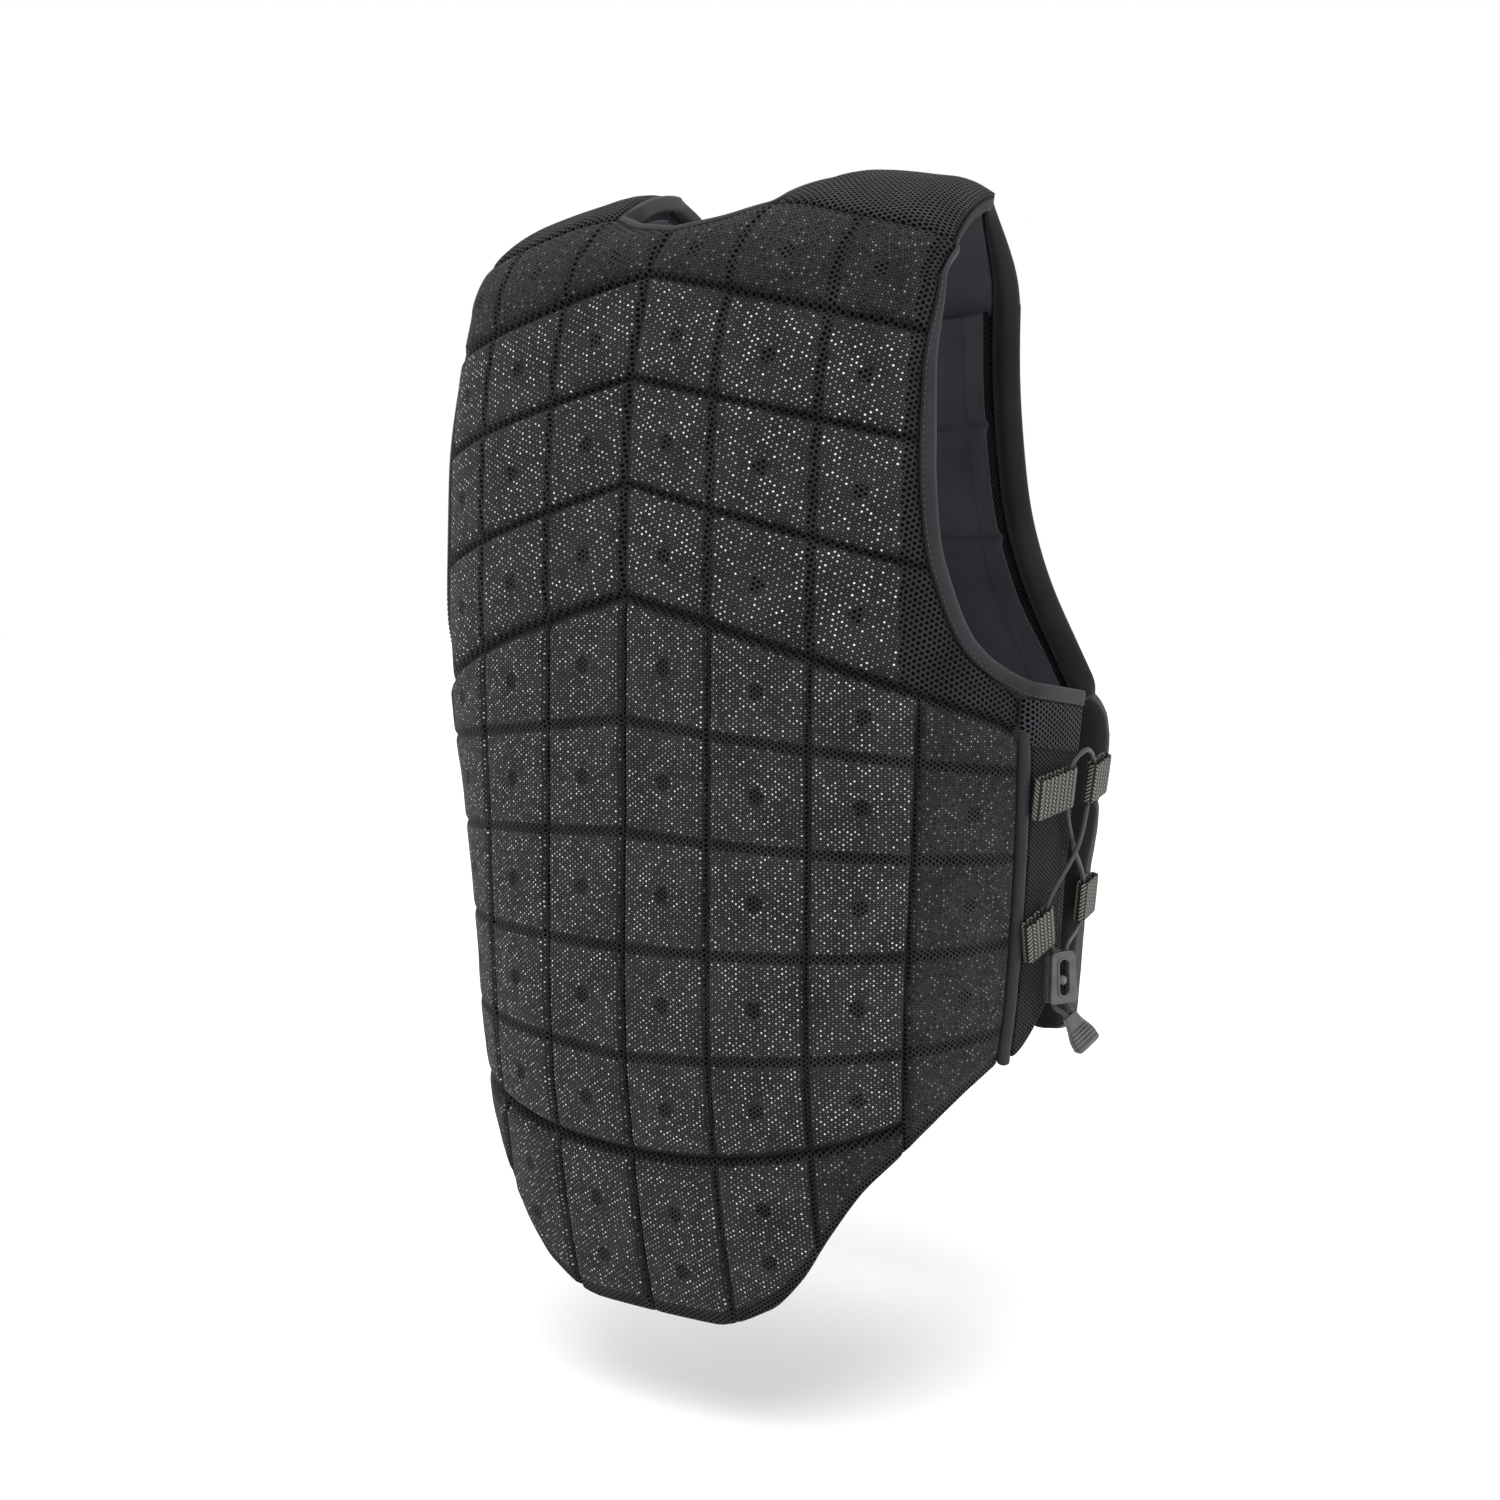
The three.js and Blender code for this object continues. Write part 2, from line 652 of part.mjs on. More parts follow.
// Side lacing. A local frame on the skin has x round the body, y out of it and z up.
function localFrame(round, drop, lift) {
  const point = onSkin('back', round, drop, 0);
  const outward = onSkin('back', round, drop, 1).sub(point).normalize();
  const up = onSkin('back', round, drop - 1, 0).sub(point);
  up.addScaledVector(outward, -up.dot(outward)).normalize();
  const sideways = outward.clone().cross(up);
  return new THREE.Matrix4().makeBasis(sideways, outward, up).setPosition(point.addScaledVector(outward, lift));
}

function stadium(shape, length, width) {
  const straight = (length - width) / 2;
  shape.moveTo(-straight, -width / 2);
  shape.lineTo(straight, -width / 2);
  shape.absarc(straight, 0, width / 2, -Math.PI / 2, Math.PI / 2, false);
  shape.lineTo(-straight, width / 2);
  shape.absarc(-straight, 0, width / 2, Math.PI / 2, Math.PI * 1.5, false);
  return shape;
}

// An outline in x and z given a thickness along y, centred on the origin
function plate(shape, thickness) {
  const geometry = new THREE.ExtrudeGeometry(shape, { depth: thickness, bevelEnabled: false, curveSegments: 6 });
  return geometry.translate(0, 0, -thickness / 2).rotateX(Math.PI / 2);
}

// Webbing loops: the middle's way round and level as in the tables, the tilt in degrees
const loopGap = 3.6; // room inside the loop for the lace
const loopThickness = loopGap + 2 * webbingThickness;
const overFlap = flapThickness + flapLift + clearance;
const webbingLoops = {
  back_top: { round: 1.250, level: 0.519, length: 33, base: overFlap, tilt: 0 },
  back_bottom: { round: 1.239, level: 0.646, length: 25, base: overFlap, tilt: 14 },
  front_top: { round: 1.530, level: 0.515, length: 23, base: clearance, tilt: 0 },
  front_bottom: { round: 1.568, level: 0.628, length: 24, base: clearance, tilt: 0 },
};
function loopFrame({ round, level: share, base, tilt }) {
  const turn = new THREE.Matrix4().makeRotationY(-THREE.MathUtils.degToRad(tilt));
  return localFrame(wayRound(round), level(share), base + loopThickness / 2).multiply(turn);
}
function webbingLoop(place) {
  const shape = stadium(new THREE.Shape(), place.length, loopThickness);
  shape.holes.push(stadium(new THREE.Path(), place.length - 2 * webbingThickness, loopGap));
  const loop = new THREE.ExtrudeGeometry(shape, { depth: webbingWidth, bevelEnabled: false, curveSegments: 6 });
  loop.translate(0, 0, -webbingWidth / 2).applyMatrix4(loopFrame(place));
  return facingOut(welded(loop));
}

// A frame for a part that hangs off the lace: turned towards the back and leaning, in degrees
function hangingFrame({ round, drop, lift, turn, lean }) {
  const frame = localFrame(round, drop, lift);
  const origin = new THREE.Vector3().setFromMatrixPosition(frame);
  const outward = new THREE.Vector3().setFromMatrixColumn(frame, 1).setZ(0).normalize();
  outward.applyAxisAngle(new THREE.Vector3(0, 0, 1), THREE.MathUtils.degToRad(turn));
  const up = new THREE.Vector3(0, 0, 1).applyAxisAngle(outward, THREE.MathUtils.degToRad(lean));
  return new THREE.Matrix4().makeBasis(outward.clone().cross(up), outward, up).setPosition(origin);
}

// The cord lock: a flat case with a channel for both strands and a slot in which the roller slides
const lockPlace = {
  round: wayRound(webbingLoops.back_bottom.round) + 15,
  drop: level(webbingLoops.back_bottom.level) + (webbingWidth + lockLength) / 2,
  lift: overFlap + lockThickness / 2 + 5,
  turn: 27,
  lean: -2,
};
const strandSpread = rollerDiameter / 2 + clearance + laceDiameter / 2;
const rollerRise = -1.5; // the roller's rest, below the middle of its slot
const lockPoint = (x, z) => new THREE.Vector3(x, 0, z).applyMatrix4(hangingFrame(lockPlace));

function cordLock() {
  const outline = new THREE.Shape();
  const corner = 2.5;
  const ends = [[-lockTop / 2, lockLength / 2], [lockTop / 2, lockLength / 2]];
  ends.push([lockBottom / 2, -lockLength / 2], [-lockBottom / 2, -lockLength / 2]);
  const corners = ends.map(([x, z]) => new THREE.Vector2(x, z));
  corners.forEach((point, k) => {
    const before = corners[(k + 3) % 4].clone().sub(point).setLength(corner).add(point);
    const after = corners[(k + 1) % 4].clone().sub(point).setLength(corner).add(point);
    if (k === 0) outline.moveTo(before.x, before.y);
    else outline.lineTo(before.x, before.y);
    outline.quadraticCurveTo(point.x, point.y, after.x, after.y);
  });
  outline.closePath();
  const channelWidth = 2 * strandSpread + laceDiameter + 2 * clearance;
  const channel = new THREE.BoxGeometry(channelWidth, lockThickness - 2 * lockWall, lockLength + 2);
  const slot = plate(stadium(new THREE.Shape(), lockSlotLength, lockSlotWidth), lockThickness + 2);
  slot.rotateY(Math.PI / 2);
  const body = solid(plate(outline, lockThickness)).subtract(solid(channel)).subtract(solid(slot));
  return fromSolid(body).applyMatrix4(hangingFrame(lockPlace));
}

function lockRoller() {
  const length = lockThickness + 2 * clearance;
  const roller = new THREE.CylinderGeometry(rollerDiameter / 2, rollerDiameter / 2, length, 20);
  return facingOut(welded(roller.translate(0, 0, rollerRise).applyMatrix4(hangingFrame(lockPlace))));
}

// The cord pull: a ribbed wedge that clips the two ends of the lace together
const pullPlace = {
  round: lockPlace.round + 3,
  drop: lockPlace.drop + lockLength / 2 + 6.5,
  lift: lockPlace.lift + 4.5,
  turn: lockPlace.turn,
  lean: -35,
};
const pullPoint = (x, z) => new THREE.Vector3(x, 0, z).applyMatrix4(hangingFrame(pullPlace));
function cordPull() {
  const face = new THREE.Shape();
  face.moveTo(-pullNarrow / 2, 0);
  face.lineTo(-pullWide / 2, -pullLength);
  face.lineTo(pullWide / 2, -pullLength);
  face.lineTo(pullNarrow / 2, 0);
  face.closePath();
  const ribs = 4;
  const ribDepth = 0.8;
  const profile = new THREE.Shape();
  const half = (down) => THREE.MathUtils.lerp(pullThickness * 0.6, pullThickness, down) / 2;
  profile.moveTo(half(0), 0);
  for (let k = 0; k < ribs; k += 1) {
    const start = 0.35 + 0.6 * k / ribs;
    profile.lineTo(half(start), -pullLength * start);
    profile.lineTo(half(start) - ribDepth, -pullLength * (start + 0.05));
    profile.lineTo(half(start) - ribDepth, -pullLength * (start + 0.09));
    profile.lineTo(half(start), -pullLength * (start + 0.12));
  }
  profile.lineTo(half(1), -pullLength);
  profile.lineTo(-half(1), -pullLength);
  profile.lineTo(-half(0), 0);
  profile.closePath();
  const side = new THREE.ExtrudeGeometry(profile, { depth: pullWide + 2, bevelEnabled: false });
  side.translate(0, 0, -pullWide / 2 - 1).rotateX(Math.PI / 2).rotateZ(Math.PI / 2);
  const body = solid(plate(face, pullThickness + 2)).intersect(solid(side));
  return fromSolid(body).applyMatrix4(hangingFrame(pullPlace));
}

// The lace goes from the pull up through the lock, through the four loops in turn, and back down
function threadLoop(name, side, way) {
  const place = webbingLoops[name];
  const reach = side * (place.length - loopThickness) / 2;
  const frame = loopFrame(place);
  return [-1, 0, 1].map((step) => (
    new THREE.Vector3(reach, 0, way * step * (webbingWidth / 2 + 1)).applyMatrix4(frame)
  ));
}

function lace() {
  const strand = (side) => [
    pullPoint(side * pullNarrow / 4, clearance),
    pullPoint(side * pullNarrow / 4, 2),
    lockPoint(side * strandSpread, -lockLength / 2 - 1.5),
    lockPoint(side * strandSpread, -lockLength / 2 + 3),
    lockPoint(side * strandSpread, lockLength / 2 - 3),
    lockPoint(side * strandSpread, lockLength / 2 + 1),
  ];
  return tube([
    ...strand(-1),
    ...threadLoop('back_bottom', 1, 1),
    onSkin('back', wayRound(1.391), level(0.571), 8.6),
    ...threadLoop('front_top', -1, 1),
    onSkin('back', wayRound(1.402), level(0.485), 6),
    ...threadLoop('back_top', 1, -1),
    onSkin('back', wayRound(1.397), level(0.571), 5.4),
    ...threadLoop('front_bottom', -1, -1),
    ...strand(1).reverse(),
  ], laceDiameter, 8, 80);
}

const group = new THREE.Group();
const finishes = {
  mesh: { color: 0x2b2b2d, roughness: 0.85, metalness: 0 },
  plainMesh: { color: 0x242426, roughness: 0.9, metalness: 0 },
  tape: { color: 0x2e2e33, roughness: 0.7, metalness: 0 },
  webbing: { color: 0x35342c, roughness: 0.8, metalness: 0 },
  cord: { color: 0x1b1b1c, roughness: 0.8, metalness: 0 },
  plastic: { color: 0x232324, roughness: 0.4, metalness: 0 },
};

function addPiece(name, geometry, finish) {
  const piece = new THREE.Mesh(geometry, new THREE.MeshStandardMaterial(finishes[finish]));
  piece.name = name;
  group.add(piece);
}

function addPair(name, geometry, finish) {
  addPiece(`${name}_left`, geometry, finish);
  addPiece(`${name}_right`, mirrored(geometry), finish);
}

addPair('yoke', blockPad(yokeField), 'mesh');
addPair('lumbar', blockPad(lumbarField), 'mesh');
addPair('side', blockPad(sideField), 'mesh');
addPair('tail', blockPad(tailField), 'mesh');
addPair('chest', blockPad(chestField), 'mesh');
addPair('waist', blockPad(waistField), 'mesh');
addPair('shoulder_strap', shoulderStrap(), 'plainMesh');
addPair('side_flap', sideFlap(), 'plainMesh');
addPair('armhole_tape', edgeTape(armholeTapeFrames(), armholeTape, -1, -11), 'tape');
addPair('front_roll', edgeTape(frontRollFrames(), frontRoll, 0, -strapThickness), 'tape');
addPair('neck_tape', edgeTape(neckTapeFrames(), neckTape, -1, -9), 'tape');
addPair('side_piping', sidePiping(), 'tape');
addPiece('front_zip', frontZip(), 'plastic');
Object.entries(webbingLoops).forEach(([name, loop]) => addPair(`loop_${name}`, webbingLoop(loop), 'webbing'));
addPair('lace', lace(), 'cord');
addPair('cord_lock', cordLock(), 'plastic');
addPair('lock_roller', lockRoller(), 'plastic');
addPair('cord_pull', cordPull(), 'plastic');

export default group;
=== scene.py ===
# Equestrian body protector: the finished look of the padded riding vest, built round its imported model.
# Sizes are in millimetres, as in the part's own source, and turn to metres where a mesh is made.
# +Z is up, +Y the wearer's back and +X the wearer's left. The left half is worked out and mirrored.

import math

import bmesh
import bpy
import numpy as np
from mathutils import Matrix, Vector, noise


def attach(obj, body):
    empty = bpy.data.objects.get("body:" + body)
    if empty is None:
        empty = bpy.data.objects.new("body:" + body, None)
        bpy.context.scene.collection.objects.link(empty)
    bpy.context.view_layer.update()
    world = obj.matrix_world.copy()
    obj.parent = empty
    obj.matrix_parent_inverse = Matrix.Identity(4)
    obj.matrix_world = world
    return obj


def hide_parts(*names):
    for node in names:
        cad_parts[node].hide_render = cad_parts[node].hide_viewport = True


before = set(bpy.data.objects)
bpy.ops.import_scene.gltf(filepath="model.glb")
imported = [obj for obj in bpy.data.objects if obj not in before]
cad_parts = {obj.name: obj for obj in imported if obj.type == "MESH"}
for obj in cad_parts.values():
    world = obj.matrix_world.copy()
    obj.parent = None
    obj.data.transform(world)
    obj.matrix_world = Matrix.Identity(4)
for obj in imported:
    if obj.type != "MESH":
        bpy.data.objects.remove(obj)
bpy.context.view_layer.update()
MM = 0.001

# Overall sizes
BACK_LENGTH = 559
CHEST_WIDTH = 368
BACK_DEPTH = 130
FRONT_DEPTH = 138
ROUNDNESS = 2.6
HALF_WIDTH = CHEST_WIDTH / 2

# Shoulders
STRAP_THICKNESS = 14
CROWN_DROP = 52
CROWN_HEIGHT = CROWN_DROP + STRAP_THICKNESS
SHOULDER_SLOPE = 10
NECK_HALF_WIDTH = 72
STRAP_WIDTH = 58
BACK_CROWN_POWER = 1.7
FRONT_CROWN_POWER = 1.4

# Padding and trim
PAD_THICKNESS = 18
LINING_THICKNESS = 0.8
GROOVE_DEPTH = 3.5
SEAM_GAP = 0.6
SEAM_TOUCH = 0.1
SEAM_OVERLAP = 0.3
CLEARANCE = 0.3
TAPE_WIDTH = 8
ROLL_WIDTH = 12
NECK_TAPE_WIDTH = 7
STRAP_INSET = 1.6
PIPING_DIAMETER = 6
FLAP_THICKNESS = 2.5
FLAP_LIFT = 2 * CLEARANCE
ZIP_WIDTH = 14
ZIP_THICKNESS = 3
TEETH_WIDTH = 5

# Side lacing
WEBBING_WIDTH = 20
WEBBING_THICKNESS = 1.2
LOOP_GAP = 3.6
LOOP_THICKNESS = LOOP_GAP + 2 * WEBBING_THICKNESS
OVER_FLAP = FLAP_THICKNESS + FLAP_LIFT + CLEARANCE
LACE_DIAMETER = 2.4
LOCK_LENGTH = 26
LOCK_TOP = 13.4
LOCK_BOTTOM = 16.4
LOCK_THICKNESS = 7
LOCK_WALL = 1.8
SLOT_WIDTH = 5.6
SLOT_LENGTH = 18
ROLLER_DIAMETER = 4.8
ROLLER_RISE = -1.5
STRAND_SPREAD = ROLLER_DIAMETER / 2 + CLEARANCE + LACE_DIAMETER / 2
PULL_LENGTH = 20
PULL_NARROW = 8
PULL_WIDE = 15
PULL_THICKNESS = 6

# The camera, at the photograph's angle, and the photograph's focal length in its own pixels
IMAGE_PIXELS = 1500
FOCAL_PIXELS = 2296
SENSOR = 36
CAMERA_TARGET = (15.2, 0, -282)
CAMERA_DISTANCE = 1228.4
CAMERA_YAW = 35.75
CAMERA_PITCH = 5.0

yaw = math.radians(CAMERA_YAW)
pitch = math.radians(CAMERA_PITCH)
level_way = Vector((-math.sin(yaw), math.cos(yaw), 0))
towards_camera = level_way * math.cos(pitch) + Vector((0, 0, math.sin(pitch)))
camera_data = bpy.data.cameras.new("camera")
camera_data.sensor_width = SENSOR
camera_data.lens = SENSOR * FOCAL_PIXELS / IMAGE_PIXELS
camera = bpy.data.objects.new("camera", camera_data)
bpy.context.scene.collection.objects.link(camera)
camera.location = (Vector(CAMERA_TARGET) + towards_camera * CAMERA_DISTANCE) * MM
camera.rotation_euler = (-towards_camera).to_track_quat("-Z", "Y").to_euler()
bpy.context.scene.camera = camera

# Sections of the outer skin: level below the shoulders as a share of the back's length, then back width,
# back depth, front width and front depth as shares of the half width and the two depths
SECTIONS = np.array([
    (0.093, 0.967, 0.846, 0.745, 0.610),
    (0.165, 0.984, 0.927, 0.730, 0.660),
    (0.256, 1.000, 0.962, 0.740, 0.725),
    (0.352, 1.000, 0.977, 0.800, 0.820),
    (0.415, 0.989, 0.981, 0.885, 0.905),
    (0.469, 0.967, 0.985, 0.950, 0.950),
    (0.540, 0.924, 0.988, 0.924, 0.990),
    (0.612, 0.886, 0.996, 0.886, 1.010),
    (0.683, 0.859, 1.000, 0.859, 1.020),
    (0.755, 0.840, 0.992, 0.840, 1.020),
    (0.846, 0.815, 0.950, 0.815, 0.980),
    (0.925, 0.790, 0.895, 0.790, 0.930),
    (1.000, 0.765, 0.820, 0.765, 0.880),
])
BACK_WIDTH, BACK_OUT, FRONT_WIDTH, FRONT_OUT = (SECTIONS[:, [0, k]] for k in (1, 2, 3, 4))

# Edges: (level, way round) down the armholes, (way round, level) along the hems and necks
BACK_ARMHOLE = [(0.040, 0.842), (0.100, 0.837), (0.165, 0.826), (0.236, 0.829), (0.306, 0.848),
                (0.349, 0.886), (0.392, 0.946), (0.422, 1.043), (0.437, 1.136)]
FRONT_ARMHOLE = [(0.093, 0.668), (0.159, 0.663), (0.249, 0.679), (0.286, 0.696), (0.343, 0.761),
                 (0.392, 0.897), (0.440, 1.005)]
HEM = [(0.000, 1.000), (0.200, 1.000), (0.380, 0.978), (0.480, 0.948), (0.580, 0.902), (0.680, 0.862),
       (0.790, 0.832), (0.860, 0.814), (0.995, 0.785), (1.140, 0.764)]
FRONT_HEM = [(0.000, 0.785), (0.450, 0.780), (0.900, 0.762), (1.150, 0.748), (1.290, 0.725)]
BACK_NECK = [(0.000, 0.034), (0.140, 0.027), (0.272, 0.0145), (0.560, 0.027), (0.830, 0.043)]
FRONT_NECK = [(0.000, 0.150), (0.110, 0.142), (0.210, 0.122), (0.290, 0.093), (0.670, 0.093)]

# The piping down the side: (level, way round)
PIPING = [(0.437, 1.138), (0.500, 1.156), (0.560, 1.170), (0.620, 1.180), (0.660, 1.182), (0.710, 1.171),
          (0.752, 1.150), (0.800, 1.140)]

# Strap edges: place along the strap, then the neck side's and the armhole side's share of the half width
STRAP_NECK = [(0.0, 0.272), (0.5, 0.391), (1.0, 0.289)]
STRAP_ARMHOLE = [(0.0, 0.800), (0.5, 0.700), (1.0, 0.579)]


def along(table, value):
    """A smooth curve through a table of (x, y), with no overshoot, held level beyond its ends."""
    xs, ys = np.asarray(table, float).T
    last = len(xs) - 1
    x = np.clip(value, xs[0], xs[last])
    i = np.clip(np.searchsorted(xs, x) - 1, 0, last - 1)
    secant = np.diff(ys) / np.diff(xs)
    before = np.concatenate([secant[:1], secant])
    after = np.concatenate([secant, secant[-1:]])
    agree = before * after > 0
    slope = np.where(agree, 2 * before * after / np.where(agree, before + after, 1), 0)
    span = xs[i + 1] - xs[i]
    t = (x - xs[i]) / span
    rise = t * t * (3 - 2 * t)
    ends = ys[i] * (1 - rise) + ys[i + 1] * rise
    return ends + span * slope[i] * t * (1 - t) ** 2 + span * slope[i + 1] * t * t * (t - 1)


def crown_fade(share, power):
    return (1 - np.minimum(share, 1) ** power) ** (1 / power)


def strap_fall(x):
    return SHOULDER_SLOPE * np.clip((np.abs(x) - NECK_HALF_WIDTH) / STRAP_WIDTH, 0, 1.3)


# The skin as a grid of points a millimetre apart, by depth below the shoulders and by the way round
GRID_DROPS = np.arange(0, 586.0)
GRID_WAYS = np.arange(0, 436.0)
SECTION_STEPS = 720


def skin_grid(side):
    levels = GRID_DROPS / BACK_LENGTH
    crown = np.maximum(CROWN_DROP - GRID_DROPS, 0) / CROWN_HEIGHT
    width = HALF_WIDTH * along(BACK_WIDTH if side == "back" else FRONT_WIDTH, levels)
    back = BACK_DEPTH * along(BACK_OUT, levels) * crown_fade(crown, BACK_CROWN_POWER)
    front = FRONT_DEPTH * along(FRONT_OUT, levels) * crown_fade(crown, FRONT_CROWN_POWER)
    angle = np.pi * np.arange(SECTION_STEPS + 1) / SECTION_STEPS
    across = np.abs(np.sin(angle)) ** (2 / ROUNDNESS)
    deep = np.abs(np.cos(angle)) ** (2 / ROUNDNESS)
    near = angle <= np.pi / 2
    grid = np.empty((len(GRID_DROPS), len(GRID_WAYS), 2))
    for k in range(len(GRID_DROPS)):
        x = width[k] * across
        y = np.where(near == (side == "back"), back[k], -front[k]) * deep
        way = np.concatenate([[0], np.cumsum(np.hypot(np.diff(x), np.diff(y)))])
        grid[k, :, 0] = np.interp(GRID_WAYS, way, x)
        grid[k, :, 1] = np.interp(GRID_WAYS, way, y)
    return grid


GRIDS = {side: skin_grid(side) for side in ("back", "front")}
PROBE = 1.2


def skin(side, way, drop):
    """Points of the outer skin, by the way round from the centre back or front and the depth."""
    grid = GRIDS[side]
    way, drop = np.broadcast_arrays(np.asarray(way, float), np.asarray(drop, float))
    r = np.clip(way, 0, grid.shape[1] - 1.001)
    d = np.clip(drop, 0, grid.shape[0] - 1.001)
    i = d.astype(int)
    j = r.astype(int)
    s = (d - i)[..., None]
    t = (r - j)[..., None]
    upper = grid[i, j] * (1 - t) + grid[i, j + 1] * t
    lower = grid[i + 1, j] * (1 - t) + grid[i + 1, j + 1] * t
    flat = upper * (1 - s) + lower * s
    rise = np.maximum(CROWN_DROP - drop, 0) / CROWN_HEIGHT
    over = -CROWN_DROP + rise * (CROWN_HEIGHT - strap_fall(flat[..., 0]))
    return np.concatenate([flat, np.where(drop < CROWN_DROP, over, -drop)[..., None]], -1)


def unit(vectors):
    return vectors / np.linalg.norm(vectors, axis=-1, keepdims=True)


def skin_normal(side, way, drop):
    way, drop = np.broadcast_arrays(np.asarray(way, float), np.asarray(drop, float))
    high = np.maximum(drop - PROBE, CROWN_DROP) if side == "front" else drop - PROBE
    across = skin(side, way + PROBE, drop) - skin(side, np.maximum(way - PROBE, 0), drop)
    down = skin(side, way, high + 2 * PROBE) - skin(side, way, high)
    return unit(np.cross(across, down) if side == "back" else np.cross(down, across))


def on_skin(side, way, drop, lift):
    return skin(side, way, drop) + skin_normal(side, way, drop) * np.asarray(lift, float)[..., None]


def level(share):
    return share * BACK_LENGTH


def way_round(share):
    return share * HALF_WIDTH


def smooth(value):
    t = np.clip(value, 0, 1)
    return t * t * (3 - 2 * t)


WING_CORNER = level(0.437)


def piping_line(drop=WING_CORNER):
    return way_round(along(PIPING, drop / BACK_LENGTH))


# Seams and edges as lines: columns give the way round at a depth, rows the depth at a way round
def chevron(share, slope):
    return lambda way: level(share) + slope * way


def column(share, slope=0.0, start=0.0):
    return lambda drop: way_round(share) + slope * (drop - level(start))


def row(share):
    return lambda way: level(share) + 0 * way


def shifted(line, by):
    return lambda x: line(x) + by


def back_edge(drop):
    return way_round(along(BACK_ARMHOLE, drop / BACK_LENGTH))


def block_edge(drop):
    return np.minimum(way_round(0.800), back_edge(drop) - 4)


def front_edge(drop):
    return way_round(along(FRONT_ARMHOLE, drop / BACK_LENGTH))


def hem(way):
    return level(along(HEM, way / HALF_WIDTH))


def front_hem(way):
    return level(along(FRONT_HEM, way / HALF_WIDTH))


def back_neck(way):
    return level(along(BACK_NECK, way / HALF_WIDTH))


def front_neck(way):
    return level(along(FRONT_NECK, way / HALF_WIDTH))


def yoke_fold(way):
    return level(0.3524) + 0.245 * way + 0.0003 * way * way


def tail_fold(way):
    return level(0.846) - 0.00108 * way * way


def waist_seam(way):
    return level(0.440) + 0.10 * np.maximum(way - way_round(0.95), 0)


def under_flap_end(drop):
    grid = GRIDS["front"]
    inside = grid[np.clip(np.asarray(drop, float), 0, len(grid) - 1).astype(int)]
    girth = np.argmin(inside[..., 0] > 0.05, axis=-1)
    return np.where(girth > 0, girth, len(GRID_WAYS)) - way_round(1.277)


def beside_zip(drop):
    return ZIP_WIDTH / 2 + CLEARANCE + 0 * drop


spine = column(0.0)
first_column = column(0.272)
second_column = column(0.560, -0.012, 0.35)
side_groove = column(0.842, -0.035, 0.43)
flap_edge = column(1.385, 0.035, 0.49)
back_rows = [yoke_fold, chevron(0.4597, 0.11), chevron(0.558, 0.05), chevron(0.660, -0.02),
             chevron(0.757, -0.07)]

# Shapes of the lines between foam blocks: half width, depth, half width with no foam behind, sharpness
GROOVES = {
    "spine": (5.8, 2.8, 3.4, 1.5),
    "bridged": (4.4, 1.3, 2.9, 2.0),
    "crease": (3.8, 4.2, 1.9, 1.3),
    "chevron": (5.0, 5.0, 2.3, 1.3),
    "fold": (7.8, 6.2, 3.6, 1.5),
    "seam": (5.0, 2.6, 2.8, 1.5),
    "brow": (16.0, 3.5, 2.4, 2.2),
    "edge": (6.5, 4.6, 2.6, 1.8),
    "soft": (6.0, 1.2, 2.5, 2.0),
    "hem": (5.0, 4.2, 4.0, 2.0),
}
BORDER_DEPTH = 2.2
HEM_BORDER = 9
DIMPLE_RADIUS = 4.3
DIMPLE_REACH = 6.5
DIMPLE_DEPTH = 0.7
SHOULDER_ROUND = 6.0
SHOULDER_ROUND_REACH = 24
SIMULATED_FRAMES = 20

